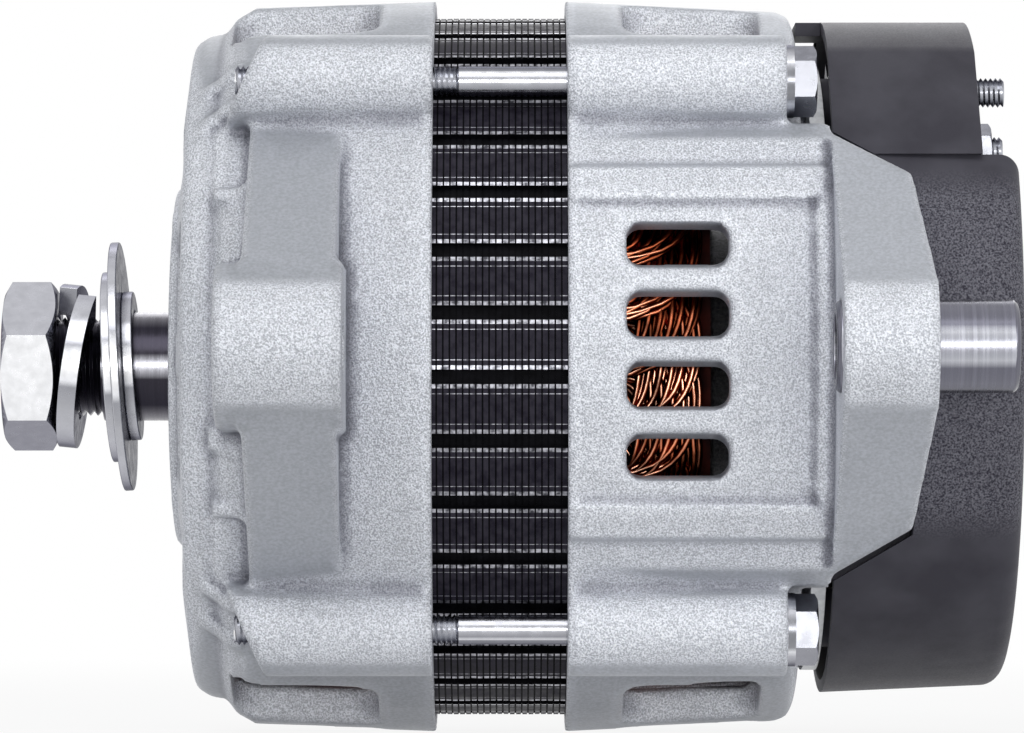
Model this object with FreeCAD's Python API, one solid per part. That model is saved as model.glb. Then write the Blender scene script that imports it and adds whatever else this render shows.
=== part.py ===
import FreeCAD, Part
import math
import os
from FreeCAD import Vector

# Belt driven vehicle alternator without its pulley, in millimetres.
# X runs along the shaft from the pulley end to the terminal end, Z is up.
# The mounting ears stand out towards -Y. The origin is on the shaft axis, in the plane
# where the hub of the pulley seats against the shaft spacer.

# Shaft
seat_diameter = 22.0
pulley_seat_length = 15.9
shaft_thread_diameter = 20.0
shaft_thread_length = 19.4
shaft_end_chamfer = 1.5
spacer_diameter = 31.0
shaft_collar_diameter = 32.0
rotor_seat_diameter = 26.0
rear_collar_diameter = 22.5

# Loose hardware on the shaft thread
nut_flats = 30.0
nut_thickness = 10.5
nut_turn = -11.2
nut_overhang = 0.5
nut_countersink = 1.0
hexagon_chamfer_share = 0.6
lock_washer_outer = 33.0
lock_washer_inner = 21.3
lock_washer_thickness = 3.6
lock_washer_pitch = 4.5
lock_washer_sweep = 350.0
lock_washer_split = 70.0
lock_washer_lean = 5.9
lock_washer_skew = 3.8
lock_washer_gap = 0.15
washer_lean = 3.3
washer_clearance = 0.3
flat_washer_diameter = 38.6
flat_washer_thickness = 2.0
large_washer_diameter = 50.5
large_washer_thickness = 1.8
collar_ring_diameter = 30.2
collar_ring_thickness = 2.2

# Front bearing, a 25 x 62 x 17 ball bearing
front_bearing_bore = 25.0
front_bearing_outer = 62.0
front_bearing_width = 17.0
front_ball_diameter = 11.4
front_ball_count = 8

# Rear bearing, a 17 x 47 x 14 ball bearing
rear_bearing_bore = 17.0
rear_bearing_outer = 47.0
rear_bearing_width = 14.0
rear_ball_diameter = 8.7
rear_ball_count = 8

# Bearing details
ball_clearance = 0.12
land_share = 0.7
pocket_clearance = 0.35
cage_wall = 2.4
cage_rim = 1.2
seal_thickness = 0.8
seal_gap = 0.3
retainer_thickness = 2.5
retainer_screw_radius = 2.5
retainer_head_radius = 4.2
retainer_head_height = 2.0
retainer_screw_depth = 10.0
retainer_screw_angles = (45.0, 135.0, 225.0, 315.0)

# Rotor
rotor_diameter = 102.0
pole_disc_thickness = 13.0
coil_space = 28.0
pole_pairs = 6
finger_root_share = 0.974
finger_tip_share = 0.337
finger_tip_setback = 3.5
finger_root_depth_share = 0.1176
finger_tip_depth_share = 0.0392
pole_hub_share = 0.549
pole_edge_chamfer = 2.5
core_share = 0.451
bobbin_wall = 1.5
coil_finger_gap = 0.8
coil_wrap_gap = 0.5

# Cooling fans
fan_plate_thickness = 2.0
fan_setback = 2.0
fan_blade_thickness = 1.6
fan_blade_height = 8.0
fan_blade_inner_share = 0.673
fan_blade_sweep = 16.0
fan_blade_bow = 2.2
fan_blade_count = 10
fan_blade_inset = 0.5

# Slip rings and brushes
slip_ring_diameter = 22.4
slip_ring_wall = 2.0
slip_ring_width = 7.5
slip_ring_gap = 3.5
slip_sleeve_wall = 2.2
slip_sleeve_collar = 2.4
slip_sleeve_step = 0.5
slip_sleeve_offset = 2.5
brush_width = 6.0
brush_breadth = 8.0
brush_length = 16.0
brush_saddle = 1.5
brush_gap = 0.08
brush_slot_clearance = 0.15
brush_spring_diameter = 5.2
brush_spring_bore = 3.6
brush_spring_length = 13.0
brush_spring_gap = 0.05
holder_wall = 2.3
holder_ring_clearance = 1.2
holder_floor = 2.5
holder_ear_margin = 1.0

# Stator
stack_length = 34.0
slot_count = 36
slot_clock = -4.0
air_gap = 0.4
slot_opening = 2.4
slot_lip = 2.0
slot_shoulder = 0.4
slot_share = 0.558
slot_depth = 9.2
yoke_depth = 7.9
rim_groove_width = 2.8
rim_groove_depth = 1.3
bar_clearance = 0.1
wedge_thickness = 1.0
head_overhang = 23.8
head_gap = 3.0
head_outer_clearance = 2.6
head_thickness = 8.5
head_inner_rounding = 3.0
head_rounding = 3.5

# Through bolts, M6
bolt_circle_offset = 4.5
bolt_angle = 45.0
bolt_thread_diameter = 6.0
bolt_shank_diameter = 5.8
bolt_thread_past_rim = 5.0
bolt_tip_projection = 2.0
bolt_head_flats = 12.0
bolt_head_height = 4.4
bolt_flange_diameter = 14.2
bolt_flange_thickness = 1.5

# Both housings
rim_wall = 3.4
seat_shoulder = 3.9
spigot_depth = 4.0
seat_clearance = 0.03
boss_radius = 9.0
bolt_hole_clearance = 0.35
end_wall = 6.0
wall_corner = 3.5
taper_front = 2.0
taper_rear = 1.0
cut_margin = 1.0
side_window_width = 17.5
side_window_places = (23.9, -4.5, -32.2)
side_window_corner = 4.0
side_window_draft = 6.0
side_cut_depth = 18.6
window_cut_depth = 5.6
window_cut_reach = 21.1

# Drive end housing
nose_projection = 1.0
nose_lip = 5.0
nose_radius = 36.6
nose_corner = 1.2
nose_lug_radius = 4.2
nose_lug_setback = 0.4
nose_lug_length = 4.0
nose_bore_radius = 16.2
front_face_x = 1.7
front_face_drop = 8.7
front_step_x = 3.3
front_shoulder_x = 6.0
front_shoulder_drop = 7.0
front_face_dish = 0.6
front_dish_drop = 19.7
front_crown_x = 9.2
front_crown_drop = 6.5
front_flare_x = 11.4
front_flare_drop = 3.5
front_body_x = 15.2
front_body_drop = 1.3
drive_rim_x = 51.4
front_hub_wall = 11.0
front_boss_x = 15.1
front_boss_slant = 4.4
front_boss_slant_reach = 10.0
front_window_start = 11.3
front_window_end = 40.3
front_vent_margin = 3.0
corner_pocket_x = 9.4
corner_pocket_drop = 5.6
corner_pocket_angle = 26.5
corner_pocket_sweep = 15.0
corner_lip_drop = 2.1
corner_lip_sweep = 2.2
corner_nub_x = 8.8
corner_nub_drop = 3.4
corner_nub_angle = 12.0
corner_nub_sweep = 3.8
corner_rib_x = 6.6
corner_rib_end_x = 13.4
corner_rib_width = 2.0
corner_rib_rise = 4.7
corner_rib_height = 1.4
corner_rib_ups = (43.8, 50.8)
front_vent_width = 20.0
front_vent_count = 12

# Mounting ears and pivot bush
pivot_reach = 15.7
pivot_bolt_clearance_diameter = 12.3
ear_boss_radius = 15.5
ear_gap = 92.8
front_ear_boss_length = 23.9
front_ear_boss_end = 35.2
front_ear_web_start = 16.2
front_ear_web_end = 33.8
ear_half_angle = 37.5
front_ear_root_depth = 26.9
ear_foot_depth = 13.9
rear_ear_length = 17.6
rear_ear_root_depth = 25.4
rear_ear_nose_up = 12.0
rear_ear_flank_setback = 2.7
rear_ear_flank_up = 33.8
rear_ear_heel_run = 16.55
rear_ear_heel_up = 43.6
bush_diameter = 17.4
bush_length = 34.1
bush_overhang = 1.0
bush_chamfer = 0.8
bush_clearance = 0.05
adjuster_reach = 16.1
adjuster_boss_radius = 12.0
adjuster_length = 17.0
adjuster_setback = 4.0
adjuster_hole_radius = 5.1
adjuster_half_angle = 24.0
adjuster_root_depth = 13.9

# Rear housing
rear_housing_length = 45.6
rear_end_drop = 2.1
rear_shoulder = 3.3
rear_shoulder_share = 0.3
rear_hub_wall = 6.0
rear_hub_depth = 15.0
rear_bearing_lip = 2.0
rear_lip_radius = 15.0
head_seat_depth = 3.3
near_window_start = 11.1
near_window_length = 19.6
near_window_width = 6.2
near_window_corner = 2.6
near_window_draft = 7.0
near_window_ups = (-20.2, -6.7, 6.8, 20.3)
side_window_start = 11.3
side_window_length = 27.0
frame_outer_angle = 28.7
frame_inner_angle = 22.9
frame_height = 1.2
frame_depth = 2.0
frame_end_width = 3.2
frame_rounding = 0.9
rear_vent_margin = 2.5
rear_vent_width = 27.0
rear_vent_count = 8
pad_height = 2.0
pad_radius = 6.0
screw_floor = 1.0

# Rectifier
negative_plate_thickness = 3.0
negative_plate_inset = 4.5
negative_plate_width = 13.0
negative_plate_start = 42.0
negative_plate_sweep = 276.0
plate_spacing = 0.5
positive_plate_gap = 5.5
positive_plate_thickness = 4.0
positive_plate_width = 18.0
positive_plate_start = 60.0
positive_plate_sweep = 170.0
positive_tab_width = 17.0
diode_radius = 6.3
diode_body = 2.5
diode_pin_radius = 0.9
negative_diode_angles = (126.0, 144.0, 162.0, 200.0, 218.0, 236.0)
positive_diode_angles = (72.0, 126.0, 147.0, 168.0, 189.0, 210.0)
board_thickness = 3.0
board_gap = 0.5
board_inset = 3.0
board_width = 22.0
board_start = 64.0
board_sweep = 180.0

# Terminals
output_stud_diameter = 6.0
output_shank_diameter = 7.2
output_stud_drop = 14.0
output_stud_out = 0.0
output_stud_end = 8.7
output_head_flats = 10.0
output_head_height = 3.0
second_stud_diameter = 6.0
second_shank_diameter = 7.2
second_stud_drop = 24.8
second_stud_out = -14.5
second_stud_end = 9.7
second_nut_flats = 10.0
second_nut_thickness = 5.0
second_washer_diameter = 11.4
second_washer_clearance = 0.2
second_washer_thickness = 2.3
stud_hole_clearance = 0.4
stud_end_chamfer = 0.8

# Voltage regulator
regulator_width = 33.0
regulator_height = 33.0
regulator_body = 5.0
regulator_fin_height = 4.5
regulator_fin_count = 7
regulator_fin_thickness = 1.8
regulator_top = 14.0
holder_ear_reach = 19.5
holder_ear_thickness = 4.0
holder_screw_out = 14.6
holder_screw_drop = 35.2
holder_screw_radius = 2.0
holder_head_radius = 3.6
holder_head_height = 2.6

# Rear cover
cover_gap = 6.0
cover_depth = 36.2
cover_inset = 7.9
cover_draft = 1.6
cover_wall = 2.5
cover_recess = 7.3
cover_top_rise = 3.7
cover_chord_drop = 30.7
cover_facet_low_inset = 14.4
cover_facet_high_drop = 9.1
cover_edge = 4.0
cover_reach = 90.0
cover_notch_clearance = 1.0
cover_tab_length = 5.0
cover_tab_width = 14.0
cover_tab_thickness = 2.7
cover_tab_drop = 0.4
cover_slot_inner = 14.0
cover_slot_outer = 44.0
cover_slot_width = 3.4
cover_slot_pitch = 12.0
cover_slot_count = 21
pillar_angles = (67.5, 180.0, 292.5)
pillar_radius = 5.8
pillar_clearance = 0.5
cover_screw_radius = 2.5
cover_screw_head_radius = 4.2
cover_screw_head_height = 3.0
cover_screw_hole = 2.8
cover_counterbore_radius = 5.0
pillar_head_floor = 3.0

# Places along the shaft, worked out from the sizes above
thread_end_x = -pulley_seat_length
shaft_tip_x = thread_end_x - shaft_thread_length
washer_bore = seat_diameter + 2 * washer_clearance
slip_ring_seat_diameter = slip_ring_diameter - 2 * (slip_ring_wall + slip_sleeve_wall)
nut_end_x = shaft_tip_x - nut_overhang + nut_thickness
nose_face_x = -nose_projection
front_bearing_x = nose_face_x + nose_lip
front_hub_x = front_bearing_x + front_bearing_width
retainer_x = front_hub_x + retainer_thickness
stack_front_x = drive_rim_x - spigot_depth
stack_rear_x = stack_front_x + stack_length
rear_rim_x = stack_rear_x - spigot_depth
rear_face_x = rear_rim_x + rear_housing_length
rear_wall_x = rear_face_x - end_wall
rotor_length = 2 * pole_disc_thickness + coil_space
rotor_front_x = (stack_front_x + stack_rear_x - rotor_length) / 2
rotor_rear_x = rotor_front_x + rotor_length
front_fan_x = rotor_front_x - fan_plate_thickness
rear_fan_x = rotor_rear_x + fan_plate_thickness
rear_bearing_end_x = rear_face_x - rear_bearing_lip
rear_bearing_x = rear_bearing_end_x - rear_bearing_width
slip_sleeve_x = rear_face_x + slip_sleeve_offset
inner_ring_x = slip_sleeve_x + slip_sleeve_collar
outer_ring_x = inner_ring_x + slip_ring_width + slip_ring_gap
slip_sleeve_end_x = outer_ring_x + slip_ring_width + slip_sleeve_collar
rear_ear_x = front_ear_boss_end + ear_gap
rear_ear_end_x = rear_ear_x + rear_ear_length
head_seat_x = rear_face_x - head_seat_depth
cover_rim_x = rear_face_x + cover_gap
cover_face_x = cover_rim_x + cover_depth
terminal_face_x = cover_face_x - cover_recess
negative_plate_x = rear_face_x + pad_height
negative_plate_end_x = negative_plate_x + negative_plate_thickness
positive_plate_x = negative_plate_end_x + positive_plate_gap
positive_plate_end_x = positive_plate_x + positive_plate_thickness
board_x = positive_plate_end_x + board_gap
board_end_x = board_x + board_thickness

# Radii, worked out from the rotor outwards
rotor_radius = rotor_diameter / 2
pole_pitch = math.pi * rotor_radius / pole_pairs
finger_root_depth = rotor_diameter * finger_root_depth_share
finger_tip_depth = rotor_diameter * finger_tip_depth_share
core_radius = rotor_radius * core_share
fan_radius = rotor_radius - fan_setback
fan_blade_inner = fan_radius * fan_blade_inner_share
bore_radius = rotor_radius + air_gap
slot_top_radius = bore_radius + slot_lip
slot_width = 2 * math.pi * slot_top_radius / slot_count * slot_share
slot_bottom_radius = slot_top_radius + slot_depth
stack_radius = slot_bottom_radius + yoke_depth
bolt_circle_radius = stack_radius + bolt_circle_offset
housing_rim_radius = stack_radius + rim_wall
housing_wall_radius = stack_radius - seat_shoulder
front_face_radius = housing_rim_radius - front_face_drop
front_shoulder_radius = housing_rim_radius - front_shoulder_drop
front_dish_radius = housing_rim_radius - front_dish_drop
front_crown_radius = housing_rim_radius - front_crown_drop
front_flare_radius = housing_rim_radius - front_flare_drop
front_body_radius = housing_rim_radius - front_body_drop
front_hub_radius = front_bearing_outer / 2 + front_hub_wall
rear_hub_radius = rear_bearing_outer / 2 + rear_hub_wall
rear_end_radius = housing_rim_radius - rear_end_drop
pivot_radius = housing_rim_radius + pivot_reach
adjuster_radius = housing_rim_radius + adjuster_reach
front_ear_root = housing_rim_radius - front_ear_root_depth
ear_foot_root = housing_rim_radius - ear_foot_depth
rear_ear_root = housing_rim_radius - rear_ear_root_depth
adjuster_root = housing_rim_radius - adjuster_root_depth
window_cut_inner = housing_wall_radius - window_cut_depth
window_cut_outer = housing_rim_radius + window_cut_reach
side_cut_inner = housing_wall_radius - side_cut_depth
cover_radius = housing_rim_radius - cover_inset
cover_rear_radius = cover_radius - cover_draft
cover_top_radius = cover_radius + cover_top_rise
cover_chord = cover_top_radius - cover_chord_drop
output_stud_height = cover_top_radius - output_stud_drop
second_stud_height = cover_top_radius - second_stud_drop
negative_plate_outer = cover_radius - negative_plate_inset
negative_plate_inner = negative_plate_outer - negative_plate_width
positive_plate_outer = negative_plate_inner - plate_spacing
positive_plate_inner = positive_plate_outer - positive_plate_width
negative_diode_radius = (negative_plate_inner + negative_plate_outer) / 2
positive_diode_radius = (positive_plate_inner + positive_plate_outer) / 2
pillar_circle_radius = negative_diode_radius
board_outer = negative_plate_outer - board_inset
board_inner = board_outer - board_width
head_outer_radius = housing_wall_radius - head_outer_clearance
head_inner_radius = head_outer_radius - head_thickness


def at(x, out, up):
    # A point from its place along the shaft, its reach towards the ears and its height
    return Vector(x, -out, up)


def polar(x, radius, angle):
    # A point on a circle around the shaft, 0 degrees towards the ears and 90 at the top
    turn = math.radians(angle)
    return at(x, radius * math.cos(turn), radius * math.sin(turn))


def turned(shape, angle):
    # A copy turned around the shaft
    copy = shape.copy()
    copy.rotate(Vector(0, 0, 0), Vector(-1, 0, 0), angle)
    return copy


def rod(x0, x1, radius, out=0.0, up=0.0):
    return Part.makeCylinder(radius, x1 - x0, at(x0, out, up), Vector(1, 0, 0))


def ring(x0, x1, inner, outer):
    return rod(x0, x1, outer).cut(rod(x0 - 1, x1 + 1, inner))


def revolved(outline):
    # A full turn of a closed outline of (place along the shaft, radius)
    points = [at(x, radius, 0) for x, radius in outline]
    face = Part.Face(Part.makePolygon(points + points[:1]))
    return face.revolve(Vector(0, 0, 0), Vector(-1, 0, 0), 360)


def sector(x0, x1, inner, outer, start, sweep):
    # Part of a ring, from one angle around the shaft onwards
    corners = [at(x0, inner, 0), at(x1, inner, 0), at(x1, outer, 0), at(x0, outer, 0)]
    face = Part.Face(Part.makePolygon(corners + corners[:1]))
    return turned(face.revolve(Vector(0, 0, 0), Vector(-1, 0, 0), sweep), start)


def block(x0, x1, out0, out1, up0, up1):
    return Part.makeBox(x1 - x0, out1 - out0, up1 - up0, at(x0, out1, up0))


def hexagon(x0, x1, flats, out=0.0, up=0.0, turn=0.0):
    # A hexagonal bar along the shaft, one flat towards the ears before it is turned
    radius = flats / math.sqrt(3)
    corners = []
    for step in range(6):
        angle = math.radians(60 * step + 30 + turn)
        corners.append(at(x0, out + radius * math.cos(angle), up + radius * math.sin(angle)))
    face = Part.Face(Part.makePolygon(corners + corners[:1]))
    return face.extrude(Vector(x1 - x0, 0, 0))


def chamfered_hexagon(x0, x1, flats, out=0.0, up=0.0, turn=0.0, both=True):
    # A hexagon whose corners are turned off at the far end, or at both
    corner = flats / math.sqrt(3)
    drop = (corner - flats / 2) * hexagon_chamfer_share
    outline = [(x0, 0), (x0, flats / 2), (x0 + drop, corner + 0.01)]
    if not both:
        outline = [(x0, 0), (x0, corner + 0.01)]
    outline += [(x1 - drop, corner + 0.01), (x1, flats / 2), (x1, 0)]
    turning = revolved(outline)
    turning.translate(at(0, out, up))
    return hexagon(x0, x1, flats, out, up, turn).common(turning)


def rounded_outline(x0, x1, width, corner, out, middle_up=0.0):
    # A closed outline with round corners, square to the direction of the ears
    half = width / 2
    cut = corner * (1 - math.sqrt(0.5))
    mids = [(x0, -half, 1, 1), (x1, -half, -1, 1), (x1, half, -1, -1), (x0, half, 1, -1)]
    edges = []
    for step, (x, up, dx, dz) in enumerate(mids):
        first = at(x, out, middle_up + up + dz * corner)
        last = at(x + dx * corner, out, middle_up + up)
        if step % 2:
            first, last = last, first
        middle = at(x + dx * cut, out, middle_up + up + dz * cut)
        edges.append((first, middle, last))
    shapes = []
    for step in range(4):
        first, middle, last = edges[step]
        shapes.append(Part.Arc(first, middle, last).toShape())
        shapes.append(Part.LineSegment(last, edges[(step + 1) % 4][0]).toShape())
    return Part.Wire(Part.__sortEdges__(shapes))


def drafted_prism(x0, x1, width, corner, near, far, up, draft, angle):
    # A bar with rounded corners that widens outwards, as a cast window does to leave its core
    wider = width + 2 * (far - near) * math.tan(math.radians(draft))
    ends = [rounded_outline(x0, x1, width, corner, near, up), rounded_outline(x0, x1, wider, corner, far, up)]
    return turned(Part.makeLoft(ends, True, True), angle)


def joined(first, others):
    return first.fuse(others).removeSplitter()


# Shaft and the hardware on it


def rotor_shaft():
    thread = shaft_thread_diameter / 2
    return revolved([
        (shaft_tip_x, 0),
        (shaft_tip_x, thread - shaft_end_chamfer),
        (shaft_tip_x + shaft_end_chamfer, thread),
        (thread_end_x, thread),
        (thread_end_x, seat_diameter / 2),
        (front_bearing_x, seat_diameter / 2),
        (front_bearing_x, front_bearing_bore / 2),
        (front_hub_x, front_bearing_bore / 2),
        (front_hub_x, shaft_collar_diameter / 2),
        (front_fan_x, shaft_collar_diameter / 2),
        (front_fan_x, rotor_seat_diameter / 2),
        (rear_fan_x, rotor_seat_diameter / 2),
        (rear_fan_x, rear_collar_diameter / 2),
        (rear_bearing_x, rear_collar_diameter / 2),
        (rear_bearing_x, rear_bearing_bore / 2),
        (rear_bearing_end_x, rear_bearing_bore / 2),
        (rear_bearing_end_x, slip_ring_seat_diameter / 2),
        (slip_sleeve_end_x, slip_ring_seat_diameter / 2),
        (slip_sleeve_end_x, 0),
    ])


def shaft_spacer():
    return ring(0, front_bearing_x, seat_diameter / 2, spacer_diameter / 2)


def washer_stack_x():
    # The end of the loose washers towards the nut, far enough in to lean on the seat
    return thread_end_x + math.sin(math.radians(washer_lean)) * washer_bore / 2


def leaning(shape, x, angle):
    shape.rotate(at(x, 0, 0), Vector(0, 1, 0), angle)
    return shape


def loose_washers():
    # The three rings lean together, as one stack that hangs on the pulley seat
    flat_x = washer_stack_x()
    large_x = flat_x + flat_washer_thickness
    collar_x = large_x + large_washer_thickness
    end_x = collar_x + collar_ring_thickness
    middle = (flat_x + end_x) / 2
    bore = washer_bore / 2
    flat = ring(flat_x, large_x, bore, flat_washer_diameter / 2)
    large = ring(large_x, collar_x, bore, large_washer_diameter / 2)
    collar = ring(collar_x, end_x, bore, collar_ring_diameter / 2)
    return [leaning(shape, middle, -washer_lean) for shape in (flat, large, collar)]


def lock_washer():
    # One left handed turn of a square wire, sprung open where it is split, askew on the thread
    rise = lock_washer_pitch * lock_washer_sweep / 360
    middle = (lock_washer_outer + lock_washer_inner) / 4
    helix = Part.makeHelix(lock_washer_pitch, rise, middle, 0, True)
    half_wide = (lock_washer_outer - lock_washer_inner) / 4
    half_thick = lock_washer_thickness / 2
    corners = [
        Vector(middle - half_wide, 0, -half_thick),
        Vector(middle + half_wide, 0, -half_thick),
        Vector(middle + half_wide, 0, half_thick),
        Vector(middle - half_wide, 0, half_thick),
    ]
    section = Part.makePolygon(corners + corners[:1])
    coil = Part.Wire(helix).makePipeShell([section], True, True)
    coil.rotate(Vector(0, 0, 0), Vector(0, 1, 0), 90)
    coil = turned(coil, 90 + lock_washer_split)
    lean_room = math.sin(math.radians(lock_washer_lean)) * lock_washer_outer / 2
    lowest_rise = lock_washer_pitch * (270 - lock_washer_split) / 360
    start = nut_end_x + lock_washer_gap + half_thick + lean_room - lowest_rise
    coil.translate(Vector(start, 0, 0))
    middle_x = start + rise / 2
    coil.rotate(at(middle_x, 0, 0), Vector(0, 0, 1), -lock_washer_skew)
    return leaning(coil, middle_x, lock_washer_lean)


def pulley_nut():
    nut_x = shaft_tip_x - nut_overhang
    end_x = nut_end_x
    nut = chamfered_hexagon(nut_x, end_x, nut_flats, turn=nut_turn)
    thread = shaft_thread_diameter / 2
    mouth = thread + 2 * nut_countersink
    bore = revolved([
        (nut_x - nut_countersink, 0),
        (nut_x - nut_countersink, mouth),
        (nut_x + nut_countersink, thread),
        (end_x - nut_countersink, thread),
        (end_x + nut_countersink, mouth),
        (end_x + nut_countersink, 0),
    ])
    return nut.cut(bore)


# Bearings


def ball_bearing(x0, bore, outer, width, ball_diameter, count):
    # Grooved rings, balls, a machined cage and two seals
    middle_x = x0 + width / 2
    pitch = (bore + outer) / 4
    ball = ball_diameter / 2
    groove = ball + ball_clearance
    inner_land = pitch - ball * land_share
    outer_land = pitch + ball * land_share
    inner_blank = ring(x0, x0 + width, bore / 2, inner_land)
    outer_blank = ring(x0, x0 + width, outer_land, outer / 2)
    track = Part.makeTorus(pitch, groove, at(middle_x, 0, 0), Vector(1, 0, 0))
    balls = []
    pockets = []
    for step in range(count):
        angle = 360 * step / count
        balls.append(Part.makeSphere(ball, polar(middle_x, pitch, angle)))
        pocket = Part.makeCylinder(ball + pocket_clearance, outer, at(middle_x, 0, 0), at(0, 1, 0))
        pockets.append(turned(pocket, angle))
    cage_half = ball + pocket_clearance + cage_rim
    cage = ring(middle_x - cage_half, middle_x + cage_half, pitch - cage_wall / 2, pitch + cage_wall / 2)
    seals = []
    for x in (x0, x0 + width - seal_thickness):
        seals.append(ring(x, x + seal_thickness, inner_land + seal_gap, outer_land))
    return {
        "outer_ring": outer_blank.cut(track),
        "inner_ring": inner_blank.cut(track),
        "balls": Part.makeCompound(balls),
        "cage": cage.cut(pockets),
        "seals": Part.makeCompound(seals),
    }


def retainer_screw_circle():
    return (front_bearing_outer + front_hub_wall) / 2


def bearing_retainer():
    land = (front_bearing_bore + front_bearing_outer) / 4 + front_ball_diameter / 2 * land_share
    plate = ring(front_hub_x, retainer_x, land, front_bearing_outer / 2 + front_hub_wall)
    holes = []
    for angle in retainer_screw_angles:
        place = polar(0, retainer_screw_circle(), angle)
        holes.append(rod(front_hub_x - cut_margin, retainer_x + cut_margin, retainer_screw_radius,
                         -place.y, place.z))
    return plate.cut(holes)


def retainer_screws():
    screws = []
    for angle in retainer_screw_angles:
        place = polar(0, retainer_screw_circle(), angle)
        out = -place.y
        shank = rod(front_hub_x - retainer_screw_depth, retainer_x, retainer_screw_radius, out, place.z)
        head = rod(retainer_x, retainer_x + retainer_head_height, retainer_head_radius, out, place.z)
        screws.append(joined(shank, [head]))
    return Part.makeCompound(screws)


# Rotor


def claw_pole(x_face, direction):
    # A forged half with six tapered fingers, direction 1 for fingers that point rearwards
    radius = rotor_radius
    x_in = x_face + direction * pole_disc_thickness
    reach = rotor_length - finger_tip_setback
    x_tip = x_face + direction * reach
    profile = revolved([
        (x_face, rotor_seat_diameter / 2),
        (x_face, radius - pole_edge_chamfer),
        (x_face + direction * pole_edge_chamfer, radius),
        (x_tip, radius),
        (x_tip, radius - finger_tip_depth),
        (x_in, radius - finger_root_depth),
        (x_in, rotor_seat_diameter / 2),
    ])
    root = pole_pitch * finger_root_share / 2
    tip = pole_pitch * finger_tip_share / 2
    outline = [
        at(x_face - direction * cut_margin, 0, -root),
        at(x_in, 0, -root),
        at(x_tip + direction * cut_margin, 0, -tip),
        at(x_tip + direction * cut_margin, 0, tip),
        at(x_in, 0, root),
        at(x_face - direction * cut_margin, 0, root),
    ]
    flat = Part.Face(Part.makePolygon(outline + outline[:1]))
    blade = flat.extrude(Vector(0, -radius - cut_margin, 0))
    blades = [turned(blade, 360 * step / pole_pairs) for step in range(pole_pairs)]
    low, high = sorted((x_face, x_in))
    star = joined(rod(low, high, rotor_radius * pole_hub_share), blades)
    return profile.common(star)


def field_core():
    core_front = rotor_front_x + pole_disc_thickness
    return ring(core_front, core_front + coil_space, rotor_seat_diameter / 2, core_radius)


def coil_bobbin():
    core_front = rotor_front_x + pole_disc_thickness
    end = core_front + coil_space
    inner = core_radius
    outer = rotor_radius - finger_root_depth - coil_finger_gap
    return revolved([
        (core_front, inner),
        (core_front, outer),
        (core_front + bobbin_wall, outer),
        (core_front + bobbin_wall, inner + bobbin_wall),
        (end - bobbin_wall, inner + bobbin_wall),
        (end - bobbin_wall, outer),
        (end, outer),
        (end, inner),
    ])


def field_coil():
    core_front = rotor_front_x + pole_disc_thickness
    inner = core_radius + bobbin_wall
    outer = rotor_radius - finger_root_depth - coil_finger_gap - coil_wrap_gap
    return ring(core_front + bobbin_wall, core_front + coil_space - bobbin_wall, inner, outer)


def fan(x_plate, x_blades):
    # A pressed disc with bowed blades that stand up from it
    low, high = sorted((x_plate, x_blades))
    if x_blades < x_plate:
        plate_low, plate_high = x_plate, x_plate + fan_plate_thickness
    else:
        plate_low, plate_high = x_plate - fan_plate_thickness, x_plate
    plate = ring(plate_low, plate_high, rotor_seat_diameter / 2, fan_radius)
    tip = fan_radius
    middle = (tip + fan_blade_inner) / 2
    curves = []
    for side in (-1, 1):
        offset = side * fan_blade_thickness / 2
        first = polar(low, fan_blade_inner, 0) + at(0, 0, offset)
        bow = polar(low, middle, fan_blade_sweep / 2) + at(0, 0, offset + fan_blade_bow)
        last = polar(low, tip - fan_blade_inset, fan_blade_sweep) + at(0, 0, offset)
        curves.append((first, bow, last))
    edges = [Part.Arc(*curve).toShape() for curve in curves]
    edges.append(Part.LineSegment(curves[0][0], curves[1][0]).toShape())
    edges.append(Part.LineSegment(curves[0][2], curves[1][2]).toShape())
    outline = Part.Face(Part.Wire(Part.__sortEdges__(edges)))
    blade = outline.extrude(Vector(high - low, 0, 0))
    blades = [turned(blade, 360 * step / fan_blade_count) for step in range(fan_blade_count)]
    return joined(plate, blades)


def slip_ring(x0):
    radius = slip_ring_diameter / 2
    return ring(x0, x0 + slip_ring_width, radius - slip_ring_wall, radius)


def slip_ring_sleeve():
    seat = slip_ring_diameter / 2 - slip_ring_wall
    collar = slip_ring_diameter / 2 - slip_sleeve_step
    return revolved([
        (slip_sleeve_x, slip_ring_seat_diameter / 2),
        (slip_sleeve_x, collar),
        (inner_ring_x, collar),
        (inner_ring_x, seat),
        (inner_ring_x + slip_ring_width, seat),
        (inner_ring_x + slip_ring_width, collar),
        (outer_ring_x, collar),
        (outer_ring_x, seat),
        (outer_ring_x + slip_ring_width, seat),
        (outer_ring_x + slip_ring_width, collar),
        (slip_sleeve_end_x, collar),
        (slip_sleeve_end_x, slip_ring_seat_diameter / 2),
    ])


# Brush gear, below the slip rings


def brush_top():
    return slip_ring_diameter / 2 + brush_gap


def brush(x_ring):
    middle = x_ring + slip_ring_width / 2
    top = brush_top()
    solid = block(middle - brush_width / 2, middle + brush_width / 2,
                  -brush_breadth / 2, brush_breadth / 2, -top - brush_length, -top + brush_saddle)
    return solid.cut(rod(middle - brush_width, middle + brush_width, top))


def brush_spring(x_ring):
    middle = x_ring + slip_ring_width / 2
    top = -brush_top() - brush_length - brush_spring_gap
    place = Vector(middle, 0, top - brush_spring_length)
    solid = Part.makeCylinder(brush_spring_diameter / 2, brush_spring_length, place)
    return solid.cut(Part.makeCylinder(brush_spring_bore / 2, brush_spring_length, place))


def holder_bottom():
    return brush_top() + brush_length + brush_spring_length + holder_floor + 2 * brush_spring_gap


def holder_faces():
    half = brush_width / 2 + brush_slot_clearance + holder_wall
    front = inner_ring_x + slip_ring_width / 2 - half
    back = outer_ring_x + slip_ring_width / 2 + half
    return front, back


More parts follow.
